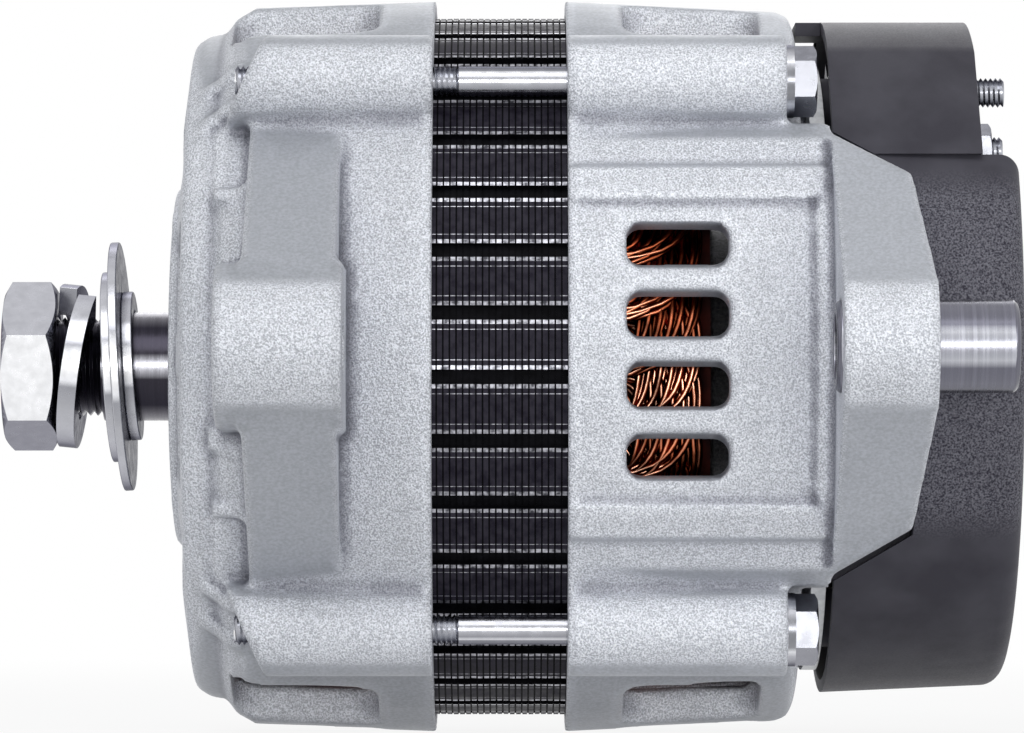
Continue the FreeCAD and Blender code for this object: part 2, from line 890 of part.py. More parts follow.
def brush_holder():
    front, back = holder_faces()
    half = brush_breadth / 2 + brush_slot_clearance + holder_wall
    bottom = -holder_bottom()
    top = -slip_ring_diameter / 2 - holder_ring_clearance
    body = block(front, back, -half, half, bottom, top)
    ear_half = 2 * holder_screw_radius + holder_ear_margin
    ear_low = -holder_screw_drop - ear_half
    ear_high = -holder_screw_drop + ear_half
    ear_front = rear_face_x
    ears = block(ear_front, ear_front + holder_ear_thickness,
                 -holder_ear_reach, holder_ear_reach, ear_low, ear_high)
    neck = block(ear_front, front + cut_margin, -half, half, ear_low, ear_high)
    solid = joined(body, [ears, neck])
    cutters = []
    for x_ring in (inner_ring_x, outer_ring_x):
        middle = x_ring + slip_ring_width / 2
        wide = brush_width / 2 + brush_slot_clearance
        deep = brush_breadth / 2 + brush_slot_clearance
        floor = bottom + holder_floor
        cutters.append(block(middle - wide, middle + wide, -deep, deep, floor, top + cut_margin))
    for side in (-1, 1):
        out = side * holder_screw_out
        cutters.append(rod(ear_front - cut_margin, ear_front + holder_ear_thickness + cut_margin,
                           holder_screw_radius, out, -holder_screw_drop))
    return solid.cut(cutters)


def holder_screws():
    screws = []
    for side in (-1, 1):
        out = side * holder_screw_out
        head_x = rear_face_x + holder_ear_thickness
        shank = rod(rear_wall_x + screw_floor, head_x, holder_screw_radius, out, -holder_screw_drop)
        head = rod(head_x, head_x + holder_head_height, holder_head_radius, out, -holder_screw_drop)
        screws.append(joined(shank, [head]))
    return Part.makeCompound(screws)


def voltage_regulator():
    # A sealed plate with cooling fins, on the rear face of the brush holder
    x0 = holder_faces()[1]
    x1 = x0 + regulator_body
    half = regulator_width / 2
    top = -regulator_top
    pitch = (regulator_width - regulator_fin_thickness) / (regulator_fin_count - 1)
    points = [at(x0, -half, top), at(x0, half, top)]
    for step in range(regulator_fin_count):
        edge = half - step * pitch
        inner = edge - regulator_fin_thickness
        tip = x1 + regulator_fin_height
        points += [at(tip, edge, top), at(tip, inner, top)]
        if step < regulator_fin_count - 1:
            points += [at(x1, inner, top), at(x1, half - (step + 1) * pitch, top)]
    face = Part.Face(Part.makePolygon(points + points[:1]))
    return face.extrude(Vector(0, 0, -regulator_height))


# Stator


def slotted_outline(x, tooth_radius, steps):
    # A closed outline of arcs around the shaft with the same notch at every slot pitch
    # steps lists (radius, half width) of the notch from its mouth to its floor
    pitch = 360 / slot_count
    edges = []
    mouth_turn = math.degrees(math.asin(steps[0][1] / tooth_radius))
    for slot in range(slot_count):
        centre = slot_clock + slot * pitch
        side = []
        for radius, half in steps:
            side.append(at(x, math.sqrt(radius ** 2 - half ** 2), -half))
        mirror = [Vector(p.x, p.y, -p.z) for p in reversed(side)]
        path = []
        for point in side + mirror:
            moved = Part.Vertex(point)
            moved.rotate(Vector(0, 0, 0), Vector(-1, 0, 0), centre)
            path.append(moved.Point)
        for first, last in zip(path, path[1:]):
            edges.append(Part.LineSegment(first, last).toShape())
        end = centre + mouth_turn
        following = centre + pitch - mouth_turn
        arc = Part.Arc(path[-1], polar(x, tooth_radius, (end + following) / 2),
                       polar(x, tooth_radius, following))
        edges.append(arc.toShape())
    return Part.Wire(edges)


def slot_angles():
    return [slot_clock + 360 * step / slot_count for step in range(slot_count)]


def stator_core():
    x = stack_front_x
    rim = stack_radius
    groove = [(rim, rim_groove_width / 2), (rim - rim_groove_depth, rim_groove_width / 2)]
    slot = [
        (bore_radius, slot_opening / 2),
        (slot_top_radius, slot_opening / 2),
        (slot_top_radius + slot_shoulder, slot_width / 2),
        (slot_bottom_radius, slot_width / 2),
    ]
    outer = Part.Face(slotted_outline(x, rim, groove))
    inner = Part.Face(slotted_outline(x, bore_radius, slot))
    return outer.cut(inner).extrude(Vector(stack_length, 0, 0))


def stator_winding():
    # Bars through the slots, and a rounded ring of coil ends on each side
    half = slot_width / 2 - bar_clearance
    low = slot_top_radius + slot_shoulder + wedge_thickness + 2 * bar_clearance
    high = slot_bottom_radius - 2 * bar_clearance
    reach = head_gap + cut_margin
    bar = block(stack_front_x - reach, stack_rear_x + reach, low, high, -half, half)
    bars = [turned(bar, angle) for angle in slot_angles()]
    heads = []
    for x_stack, direction in ((stack_front_x, -1), (stack_rear_x, 1)):
        x_near = x_stack + direction * head_gap
        x_far = x_stack + direction * head_overhang
        turn = direction * head_rounding
        heads.append(revolved([
            (x_near, head_inner_radius),
            (x_far - turn, head_inner_radius),
            (x_far, head_inner_radius + head_inner_rounding),
            (x_far, head_outer_radius - head_rounding),
            (x_far - turn, head_outer_radius),
            (x_near, head_outer_radius),
        ]))
    return joined(heads[0], [heads[1]] + bars)


def slot_wedges():
    half = slot_width / 2 - bar_clearance
    low = slot_top_radius + slot_shoulder + bar_clearance
    wedge = block(stack_front_x, stack_rear_x, low, low + wedge_thickness, -half, half)
    return Part.makeCompound([turned(wedge, angle) for angle in slot_angles()])


# Through bolts


def bolt_places():
    angles = (bolt_angle, 180 - bolt_angle, 180 + bolt_angle, 360 - bolt_angle)
    return [polar(0, bolt_circle_radius, angle) for angle in angles]


def through_bolts():
    tip = front_boss_x - bolt_tip_projection
    bolts = []
    for place in bolt_places():
        out = -place.y
        up = place.z
        thread = rod(tip, drive_rim_x + bolt_thread_past_rim, bolt_thread_diameter / 2, out, up)
        shank = rod(drive_rim_x + bolt_thread_past_rim, head_seat_x, bolt_shank_diameter / 2, out, up)
        flange_end = head_seat_x + bolt_flange_thickness
        flange = rod(head_seat_x, flange_end, bolt_flange_diameter / 2, out, up)
        head = chamfered_hexagon(flange_end, flange_end + bolt_head_height, bolt_head_flats,
                                 out, up, both=False)
        bolts.append(joined(thread, [shank, flange, head]))
    return Part.makeCompound(bolts)


# Mounting ears


def ear_section(x, half_angle, root, radius=ear_boss_radius, centre=pivot_radius):
    # Two straight flanks that run tangent into the round boss
    turn = math.radians(half_angle)
    tangent_out = centre + radius * math.sin(turn)
    tangent_up = radius * math.cos(turn)
    root_up = tangent_up + (tangent_out - root) * math.tan(turn)
    low_root = at(x, root, -root_up)
    high_root = at(x, root, root_up)
    low = at(x, tangent_out, -tangent_up)
    high = at(x, tangent_out, tangent_up)
    nose = Part.Arc(low, at(x, centre + radius, 0), high).toShape()
    sides = [Part.LineSegment(low_root, low).toShape(), nose,
             Part.LineSegment(high, high_root).toShape(),
             Part.LineSegment(high_root, low_root).toShape()]
    return Part.Wire(sides)


def flat_ear(x0, x1, half_angle, root, radius=ear_boss_radius, centre=pivot_radius):
    face = Part.Face(ear_section(x0, half_angle, root, radius, centre))
    return face.extrude(Vector(x1 - x0, 0, 0))


def pivot_bush():
    x0 = rear_ear_x - bush_overhang
    x1 = x0 + bush_length
    outer = bush_diameter / 2
    inner = pivot_bolt_clearance_diameter / 2
    bush = revolved([
        (x0, inner),
        (x0, outer - bush_chamfer),
        (x0 + bush_chamfer, outer),
        (x1 - bush_chamfer, outer),
        (x1, outer - bush_chamfer),
        (x1, inner),
    ])
    bush.translate(at(0, pivot_radius, 0))
    return bush


# Drive end housing


def front_bolt_bosses():
    # Round tunnels for the bolts, with their front ends sloped back
    bosses = []
    for place in bolt_places():
        bosses.append(rod(front_boss_x - front_boss_slant, drive_rim_x, boss_radius, -place.y, place.z))
    reach = bolt_circle_radius + boss_radius
    height = bolt_circle_radius * math.sin(math.radians(bolt_angle))
    low = height - front_boss_slant_reach
    high = height + front_boss_slant_reach
    slope = [
        at(front_boss_x + front_boss_slant, reach, high),
        at(front_boss_x - front_boss_slant, reach, low),
        at(front_boss_x - front_boss_slant, reach, -low),
        at(front_boss_x + front_boss_slant, reach, -high),
        at(drive_rim_x, reach, -high),
        at(drive_rim_x, reach, high),
    ]
    envelope = Part.Face(Part.makePolygon(slope + slope[:1])).extrude(Vector(0, 2 * reach, 0))
    return [boss.common(envelope) for boss in bosses]


def side_windows(x0, x1):
    # Windows in the top and in the bottom of a housing
    cutters = []
    for out in side_window_places:
        for side in (-1, 1):
            cutters.append(drafted_prism(x0, x1, side_window_width, side_window_corner, side_cut_inner,
                                         window_cut_outer, -side * out, side_window_draft, side * 90))
    return cutters


def both_sides(start, sweep):
    # The start angles of a sector above the ears' plane and of its mirror image below
    return (start, -start - sweep)


def corner_ribs():
    # Slanted ribs that carry the bolt bosses on the rounded front corner
    envelope = revolved([
        (front_step_x, 0),
        (front_step_x, front_face_radius + corner_rib_height),
        (front_shoulder_x, front_shoulder_radius + corner_rib_height),
        (front_crown_x, front_crown_radius + corner_rib_height),
        (front_flare_x, front_flare_radius + corner_rib_height),
        (front_body_x, front_body_radius + corner_rib_height),
        (front_body_x, 0),
    ])
    ribs = []
    for side in (-1, 1):
        for up in corner_rib_ups:
            corners = []
            for x, rise in ((corner_rib_x, 0), (corner_rib_end_x, corner_rib_rise)):
                corners.append(at(x, 0, side * (up + rise)))
            for x, rise in ((corner_rib_end_x, corner_rib_rise), (corner_rib_x, 0)):
                corners.append(at(x, 0, side * (up + rise + corner_rib_width)))
            face = Part.Face(Part.makePolygon(corners + corners[:1]))
            ribs.append(face.extrude(at(0, housing_rim_radius, 0)).common(envelope))
    return ribs


def corner_details():
    # A nub beside the ear's foot and the lips at the inner ends of the corner's pockets
    details = [sector(corner_nub_x, front_ear_web_start, ear_foot_root, housing_rim_radius - corner_nub_drop,
                      -corner_nub_angle - corner_nub_sweep, corner_nub_sweep)]
    for start in both_sides(corner_pocket_angle - corner_lip_sweep, corner_lip_sweep):
        details.append(sector(corner_pocket_x, front_ear_web_start, ear_foot_root,
                              housing_rim_radius - corner_lip_drop, start, corner_lip_sweep))
    return details


def corner_pockets():
    pockets = []
    for start in both_sides(corner_pocket_angle, corner_pocket_sweep):
        pockets.append(sector(corner_pocket_x, front_ear_web_start, housing_rim_radius - corner_pocket_drop,
                              pivot_radius, start, corner_pocket_sweep))
    return pockets


def nose_lugs():
    # Round lugs for the retainer's screws, at the rim of the nose
    lugs = []
    for angle in retainer_screw_angles:
        place = polar(0, retainer_screw_circle(), angle)
        start = nose_face_x + nose_lug_setback
        lugs.append(rod(start, start + nose_lug_length, nose_lug_radius, -place.y, place.z))
    return lugs


def drive_end_housing():
    body = revolved([
        (nose_face_x, 0),
        (nose_face_x, nose_radius - nose_corner),
        (nose_face_x + nose_corner, nose_radius),
        (front_face_x - front_face_dish, nose_radius),
        (front_face_x, front_dish_radius),
        (front_step_x, front_face_radius),
        (front_shoulder_x, front_shoulder_radius),
        (front_crown_x, front_crown_radius),
        (front_flare_x, front_flare_radius),
        (front_body_x, front_body_radius),
        (drive_rim_x, housing_rim_radius),
        (drive_rim_x, 0),
    ])
    ear_start = front_ear_boss_end - front_ear_boss_length
    web = flat_ear(front_ear_web_start, front_ear_web_end, ear_half_angle, front_ear_root)
    body = body.cut(corner_pockets())
    boss = rod(ear_start, front_ear_boss_end, ear_boss_radius, pivot_radius)
    boss_foot = block(ear_start, front_ear_boss_end, ear_foot_root, pivot_radius, -ear_boss_radius,
                      ear_boss_radius)
    adjuster_x = front_ear_boss_end - front_ear_boss_length + adjuster_setback
    adjuster = turned(flat_ear(adjuster_x, adjuster_x + adjuster_length, adjuster_half_angle, adjuster_root,
                               adjuster_boss_radius, adjuster_radius), 180)
    solid = joined(body, front_bolt_bosses() + corner_ribs() + corner_details() + nose_lugs()
                   + [web, boss, boss_foot, adjuster])
    wall_x = front_face_x + end_wall
    cavity = revolved([
        (drive_rim_x + cut_margin, 0),
        (drive_rim_x + cut_margin, stack_radius + seat_clearance),
        (stack_front_x, stack_radius + seat_clearance),
        (stack_front_x, housing_wall_radius),
        (wall_x + wall_corner, housing_wall_radius - taper_front),
        (wall_x, housing_wall_radius - taper_front - wall_corner),
        (wall_x, front_hub_radius),
        (front_hub_x, front_hub_radius),
        (front_hub_x, front_bearing_outer / 2 + seat_clearance),
        (front_bearing_x, front_bearing_outer / 2 + seat_clearance),
        (front_bearing_x, nose_bore_radius),
        (nose_face_x - cut_margin, nose_bore_radius),
        (nose_face_x - cut_margin, 0),
    ])
    cutters = [cavity]
    for place in bolt_places():
        cutters.append(rod(0, drive_rim_x + cut_margin, bolt_thread_diameter / 2 + seat_clearance,
                           -place.y, place.z))
    cutters += side_windows(front_window_start, front_window_end)
    pitch = 360 / front_vent_count
    for step in range(front_vent_count):
        start = (step + 0.5) * pitch - front_vent_width / 2
        cutters.append(sector(nose_face_x, wall_x + cut_margin, front_hub_radius + front_vent_margin,
                              window_cut_inner, start, front_vent_width))
    for angle in retainer_screw_angles:
        place = polar(0, retainer_screw_circle(), angle)
        cutters.append(rod(front_hub_x - retainer_screw_depth, front_hub_x + cut_margin,
                           retainer_screw_radius, -place.y, place.z))
    cutters.append(rod(ear_start - cut_margin, front_ear_boss_end + cut_margin,
                       pivot_bolt_clearance_diameter / 2, pivot_radius))
    cutters.append(rod(adjuster_x - cut_margin, adjuster_x + adjuster_length + cut_margin,
                       adjuster_hole_radius, -adjuster_radius))
    return solid.cut(cutters)


# Rear housing


def rear_ear_outline(clearance):
    # The rear ear's outline seen along the ears, or the same outline grown by a clearance
    end = rear_ear_end_x + clearance
    flank_x = rear_ear_end_x - rear_ear_flank_setback + clearance
    nose = [(end, rear_ear_nose_up), (flank_x, rear_ear_flank_up + clearance)]
    heel_x = rear_ear_end_x - rear_ear_flank_setback - rear_ear_heel_run + clearance
    heel = rear_ear_heel_up + clearance
    return nose + [(heel_x, heel), (rear_face_x - clearance, heel)]


def outline_prism(outline, out0, out1):
    # A mirrored outline of (place along the shaft, height), pulled towards the ears
    points = [at(x, out0, up) for x, up in outline]
    points += [at(x, out0, -up) for x, up in reversed(outline)]
    return Part.Face(Part.makePolygon(points + points[:1])).extrude(at(0, out1 - out0, 0))


def raised_frame():
    # A rounded rib that frames the four windows and runs into the ear
    outer = housing_rim_radius + frame_height
    inner = housing_rim_radius - frame_depth
    blank = sector(rear_rim_x, rear_ear_x, inner, outer, -frame_outer_angle, 2 * frame_outer_angle)
    opening = sector(rear_rim_x - cut_margin, rear_ear_x - frame_end_width, inner - cut_margin,
                     outer + cut_margin, -frame_inner_angle, 2 * frame_inner_angle)
    frame = blank.cut(opening)
    edges = []
    for edge in frame.Edges:
        radii = [math.hypot(vertex.Y, vertex.Z) for vertex in edge.Vertexes]
        box = edge.BoundBox
        if min(radii) > outer - 0.01 and box.XMax > rear_rim_x + cut_margin and box.XMin < rear_ear_x - 0.01:
            edges.append(edge)
    return frame.makeFillet(frame_rounding, edges)


def rear_housing():
    bevel = rear_shoulder * rear_shoulder_share
    body = revolved([
        (rear_rim_x, 0),
        (rear_rim_x, housing_rim_radius),
        (head_seat_x, rear_end_radius),
        (rear_face_x - bevel, rear_end_radius - bevel),
        (rear_face_x, rear_end_radius - rear_shoulder),
        (rear_face_x, 0),
    ])
    bosses = [rod(rear_rim_x, head_seat_x, boss_radius, -p.y, p.z) for p in bolt_places()]
    saddle = flat_ear(rear_rim_x, rear_ear_x, ear_half_angle, rear_ear_root)
    saddle = saddle.common(rod(rear_rim_x, rear_ear_x, housing_rim_radius))
    ear = flat_ear(rear_ear_x, rear_ear_end_x, ear_half_angle, rear_ear_root)
    ear = ear.common(outline_prism(rear_ear_outline(0), 0, pivot_radius + ear_boss_radius + cut_margin))
    pads = []
    for angle in pillar_angles:
        place = polar(0, pillar_circle_radius, angle)
        pads.append(rod(rear_face_x - cut_margin, negative_plate_x, pad_radius, -place.y, place.z))
    solid = joined(body, bosses + [saddle, ear, raised_frame()] + pads)
    hub_x = rear_face_x - rear_bearing_lip - rear_hub_depth
    cavity = revolved([
        (rear_rim_x - cut_margin, 0),
        (rear_rim_x - cut_margin, stack_radius + seat_clearance),
        (stack_rear_x, stack_radius + seat_clearance),
        (stack_rear_x, housing_wall_radius),
        (rear_wall_x - wall_corner, housing_wall_radius - taper_rear),
        (rear_wall_x, housing_wall_radius - taper_rear - wall_corner),
        (rear_wall_x, rear_hub_radius),
        (hub_x, rear_hub_radius),
        (hub_x, rear_bearing_outer / 2 + seat_clearance),
        (rear_bearing_end_x, rear_bearing_outer / 2 + seat_clearance),
        (rear_bearing_end_x, rear_lip_radius),
        (rear_face_x + cut_margin, rear_lip_radius),
        (rear_face_x + cut_margin, 0),
    ])
    cutters = [cavity]
    for place in bolt_places():
        out = -place.y
        cutters.append(rod(rear_rim_x - cut_margin, head_seat_x + cut_margin,
                           bolt_thread_diameter / 2 + bolt_hole_clearance, out, place.z))
        cutters.append(rod(head_seat_x, rear_ear_end_x, boss_radius, out, place.z))
    window_x = rear_rim_x + near_window_start
    for up in near_window_ups:
        for angle in (0, 180):
            cutters.append(drafted_prism(window_x, window_x + near_window_length, near_window_width,
                                         near_window_corner, window_cut_inner, window_cut_outer, up,
                                         near_window_draft, angle))
    side_x = rear_rim_x + side_window_start
    cutters += side_windows(side_x, side_x + side_window_length)
    pitch = 360 / rear_vent_count
    for step in range(rear_vent_count):
        start = step * pitch - rear_vent_width / 2
        cutters.append(sector(rear_wall_x - cut_margin, rear_face_x + cut_margin,
                              rear_hub_radius + rear_vent_margin, positive_plate_outer,
                              start, rear_vent_width))
    for angle in pillar_angles:
        place = polar(0, pillar_circle_radius, angle)
        cutters.append(rod(rear_wall_x + screw_floor, negative_plate_x + cut_margin, cover_screw_radius,
                           -place.y, place.z))
    for side in (-1, 1):
        cutters.append(rod(rear_wall_x + screw_floor, rear_face_x + cut_margin, holder_screw_radius,
                           side * holder_screw_out, -holder_screw_drop))
    cutters.append(rod(rear_ear_x - cut_margin, rear_ear_end_x + cut_margin,
                       bush_diameter / 2 + bush_clearance, pivot_radius))
    return solid.cut(cutters)


# Rectifier and terminals


def diodes(body_x, body_end_x, circle, angles):
    # Diodes pressed into a plate, each with a pin that reaches the terminal board
    pieces = []
    for angle in angles:
        place = polar(0, circle, angle)
        body = rod(body_x, body_end_x, diode_radius, -place.y, place.z)
        pin = rod(body_x, board_x, diode_pin_radius, -place.y, place.z)
        pieces.append(joined(body, [pin]))
    return Part.makeCompound(pieces)


def plate_holes(x0, x1, circle, angles, radius):
    holes = []
    for angle in angles:
        place = polar(0, circle, angle)
        holes.append(rod(x0, x1, radius, -place.y, place.z))
    return holes


def negative_plate():
    x0 = negative_plate_x
    x1 = negative_plate_end_x
    plate = sector(x0, x1, negative_plate_inner, negative_plate_outer,
                   negative_plate_start, negative_plate_sweep)
    low = x0 - cut_margin
    high = x1 + cut_margin
    holes = plate_holes(low, high, negative_diode_radius, negative_diode_angles, diode_radius)
    holes += plate_holes(low, high, pillar_circle_radius, pillar_angles, cover_screw_radius)
    return plate.cut(holes)


def positive_plate():
    x0 = positive_plate_x
    x1 = positive_plate_end_x
    plate = sector(x0, x1, positive_plate_inner, positive_plate_outer,
                   positive_plate_start, positive_plate_sweep)
    tab = sector(x0, x1, positive_plate_outer - cut_margin, negative_plate_outer,
                 90 - positive_tab_width / 2, positive_tab_width)
    low = x0 - cut_margin
    high = x1 + cut_margin
    holes = plate_holes(low, high, positive_diode_radius, positive_diode_angles, diode_radius)
    holes.append(rod(low, high, output_shank_diameter / 2, output_stud_out, output_stud_height))
    return joined(plate, [tab]).cut(holes)


def terminal_board():
    plate = sector(board_x, board_end_x, board_inner, board_outer, board_start, board_sweep)
    low = board_x - cut_margin
    high = board_end_x + cut_margin
    holes = plate_holes(low, high, pillar_circle_radius, pillar_angles, pillar_radius + pillar_clearance)
    holes.append(rod(low, high, output_shank_diameter / 2 + stud_hole_clearance,
                     output_stud_out, output_stud_height))
    holes.append(rod(low, high, second_shank_diameter / 2, second_stud_out, second_stud_height))
    return plate.cut(holes)


def stud(x0, x1, shank_diameter, diameter, out, up):
    # A smooth shank up to the terminal's face, and the smaller thread above it
    radius = diameter / 2
    bar = revolved([
        (x0, 0),
        (x0, shank_diameter / 2),
        (terminal_face_x, shank_diameter / 2),
        (terminal_face_x, radius),
        (x1 - stud_end_chamfer, radius),
        (x1, radius - stud_end_chamfer),
        (x1, 0),
    ])
    bar.translate(at(0, out, up))
    return bar


def output_stud():
    bar = stud(positive_plate_x - cut_margin, terminal_face_x + output_stud_end, output_shank_diameter,
               output_stud_diameter, output_stud_out, output_stud_height)
    head = hexagon(positive_plate_x - output_head_height, positive_plate_x, output_head_flats,
                   output_stud_out, output_stud_height)
    return joined(bar, [head])


def second_stud():
    return stud(board_x, terminal_face_x + second_stud_end, second_shank_diameter,
                second_stud_diameter, second_stud_out, second_stud_height)


def second_washer():
    washer = ring(terminal_face_x, terminal_face_x + second_washer_thickness,
                  second_stud_diameter / 2 + second_washer_clearance, second_washer_diameter / 2)
    washer.translate(at(0, second_stud_out, second_stud_height))
    return washer


def second_nut():
    x0 = terminal_face_x + second_washer_thickness
    nut = chamfered_hexagon(x0, x0 + second_nut_thickness, second_nut_flats,
                            second_stud_out, second_stud_height)
    return nut.cut(rod(x0 - cut_margin, x0 + second_nut_thickness + cut_margin, second_stud_diameter / 2,
                       second_stud_out, second_stud_height))


# Rear cover


def cover_block(inset):
    # The outer form of the cover, or the same form drawn in by its wall
    x0 = cover_rim_x - (cut_margin if inset else 0)
    face = cover_face_x - inset
    low_face = terminal_face_x - inset
    drum = Part.makeCone(cover_radius - inset, cover_rear_radius - inset, face - x0,
                         at(x0, 0, 0), Vector(1, 0, 0))
    chord = cover_chord - inset
    step = block(low_face, face + cut_margin, -cover_reach, cover_reach, chord, cover_reach)
    top = rod(x0, low_face, cover_top_radius - inset)
    top = top.common(block(x0, low_face, -cover_reach, cover_reach, chord, cover_reach))
    low_out = cover_radius - cover_facet_low_inset
    high_up = cover_top_radius - cover_facet_high_drop
    facet_up = math.sqrt(cover_radius ** 2 - low_out ** 2)
    facet_out = math.sqrt(cover_top_radius ** 2 - high_up ** 2)
    run = Vector(0, low_out - facet_out, high_up - facet_up)
    run.normalize()
    for side in (-1, 1):
        along = Vector(0, side * run.y, run.z)
        normal = Vector(0, -side * run.z, run.y)
        base = at(x0, side * low_out, facet_up) - normal * inset
        corners = [base - along * cover_reach, base + along * cover_reach]
        corners += [corners[1] + normal * cover_reach, corners[0] + normal * cover_reach]
        slab = Part.Face(Part.makePolygon(corners + corners[:1])).extrude(Vector(face - x0, 0, 0))
        top = top.cut(slab)
    shell = joined(drum.cut(step), [top])
    notch = rear_ear_outline(cover_notch_clearance + inset)
    return shell.cut(outline_prism(notch, rear_ear_root - cover_notch_clearance - inset, cover_reach))


def edges_at(shape, x):
    # The edges that lie in one plane across the shaft
    found = []
    for edge in shape.Edges:
        box = edge.BoundBox
        if abs(box.XMin - x) < 0.001 and abs(box.XMax - x) < 0.001:
            found.append(edge)
    return found


def rear_cover():
    outer = cover_block(0)
    outer = outer.makeFillet(cover_edge, edges_at(outer, cover_face_x))
    shell = outer.cut(cover_block(cover_wall))
    tab_top = cover_top_radius - cover_tab_drop
    tab = block(cover_rim_x - cover_tab_length, cover_rim_x + cut_margin, -cover_tab_width / 2,
                cover_tab_width / 2, tab_top - cover_tab_thickness, tab_top)
    pillars = []
    cutters = []
    for angle in pillar_angles:
        place = polar(0, pillar_circle_radius, angle)
        out = -place.y
        face = terminal_face_x if place.z > cover_chord else cover_face_x
        pillars.append(rod(negative_plate_end_x, face - cut_margin, pillar_radius, out, place.z))
        cutters.append(rod(negative_plate_end_x - cut_margin, face, cover_screw_hole, out, place.z))
        cutters.append(rod(face - pillar_head_floor, face + cut_margin, cover_counterbore_radius,
                           out, place.z))
    for step in range(cover_slot_count):
        angle = 270 + (step - (cover_slot_count - 1) / 2) * cover_slot_pitch
        slot = block(cover_face_x - cover_wall - cut_margin, cover_face_x + cut_margin, cover_slot_inner,
                     cover_slot_outer, -cover_slot_width / 2, cover_slot_width / 2)
        cutters.append(turned(slot, angle))
    low = terminal_face_x - cover_wall - cut_margin
    high = terminal_face_x + cut_margin
    cutters.append(rod(low, high, output_shank_diameter / 2 + stud_hole_clearance,
                       output_stud_out, output_stud_height))
    cutters.append(rod(low, high, second_shank_diameter / 2 + stud_hole_clearance,
                       second_stud_out, second_stud_height))
    return joined(shell, [tab] + pillars).cut(cutters)


def cover_screws():
    screws = []
    for angle in pillar_angles:
        place = polar(0, pillar_circle_radius, angle)
        out = -place.y
        face = terminal_face_x if place.z > cover_chord else cover_face_x
        seat = face - pillar_head_floor
        shank = rod(rear_wall_x + screw_floor, seat, cover_screw_radius, out, place.z)
        head = rod(seat, seat + cover_screw_head_height, cover_screw_head_radius, out, place.z)
        screws.append(joined(shank, [head]))
    return Part.makeCompound(screws)


def build():
    front = ball_bearing(front_bearing_x, front_bearing_bore, front_bearing_outer,
                         front_bearing_width, front_ball_diameter, front_ball_count)
    rear = ball_bearing(rear_bearing_x, rear_bearing_bore, rear_bearing_outer,
                        rear_bearing_width, rear_ball_diameter, rear_ball_count)
    flat, large, collar = loose_washers()
    nodes = {
        "rotor_shaft": rotor_shaft(),
        "shaft_spacer": shaft_spacer(),
        "pulley_nut": pulley_nut(),
        "lock_washer": lock_washer(),
        "flat_washer": flat,
        "large_washer": large,
        "collar_ring": collar,
        "bearing_retainer": bearing_retainer(),
        "retainer_screws": retainer_screws(),
        "front_claw_pole": claw_pole(rotor_front_x, 1),
        "rear_claw_pole": turned(claw_pole(rotor_rear_x, -1), 180 / pole_pairs),
        "field_core": field_core(),
        "coil_bobbin": coil_bobbin(),
        "field_coil": field_coil(),
        "front_fan": fan(front_fan_x, front_fan_x - fan_blade_height),
        "rear_fan": fan(rear_fan_x, rear_fan_x + fan_blade_height),
        "inner_slip_ring": slip_ring(inner_ring_x),
        "outer_slip_ring": slip_ring(outer_ring_x),
        "slip_ring_sleeve": slip_ring_sleeve(),
        "inner_brush": brush(inner_ring_x),
        "outer_brush": brush(outer_ring_x),
        "inner_brush_spring": brush_spring(inner_ring_x),
        "outer_brush_spring": brush_spring(outer_ring_x),
        "brush_holder": brush_holder(),
        "holder_screws": holder_screws(),
        "voltage_regulator": voltage_regulator(),
        "stator_core": stator_core(),
        "stator_winding": stator_winding(),
        "slot_wedges": slot_wedges(),
        "through_bolts": through_bolts(),
        "drive_end_housing": drive_end_housing(),
        "rear_housing": rear_housing(),
        "pivot_bush": pivot_bush(),
        "negative_plate": negative_plate(),
        "positive_plate": positive_plate(),
        "negative_diodes": diodes(negative_plate_x, negative_plate_end_x + diode_body,
                                  negative_diode_radius, negative_diode_angles),
        "positive_diodes": diodes(positive_plate_x - diode_body, positive_plate_end_x,
                                  positive_diode_radius, positive_diode_angles),
        "terminal_board": terminal_board(),
        "output_stud": output_stud(),
        "second_stud": second_stud(),
        "second_stud_washer": second_washer(),
        "second_stud_nut": second_nut(),
        "rear_cover": rear_cover(),
        "cover_screws": cover_screws(),
    }
    for name, shape in front.items():
        nodes["front_bearing_" + name] = shape
    for name, shape in rear.items():
        nodes["rear_bearing_" + name] = shape
    return nodes


os.makedirs("parts", exist_ok=True)
for node, solid in build().items():
    solid.exportStep("parts/" + node + ".step")
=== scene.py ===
import math
import random

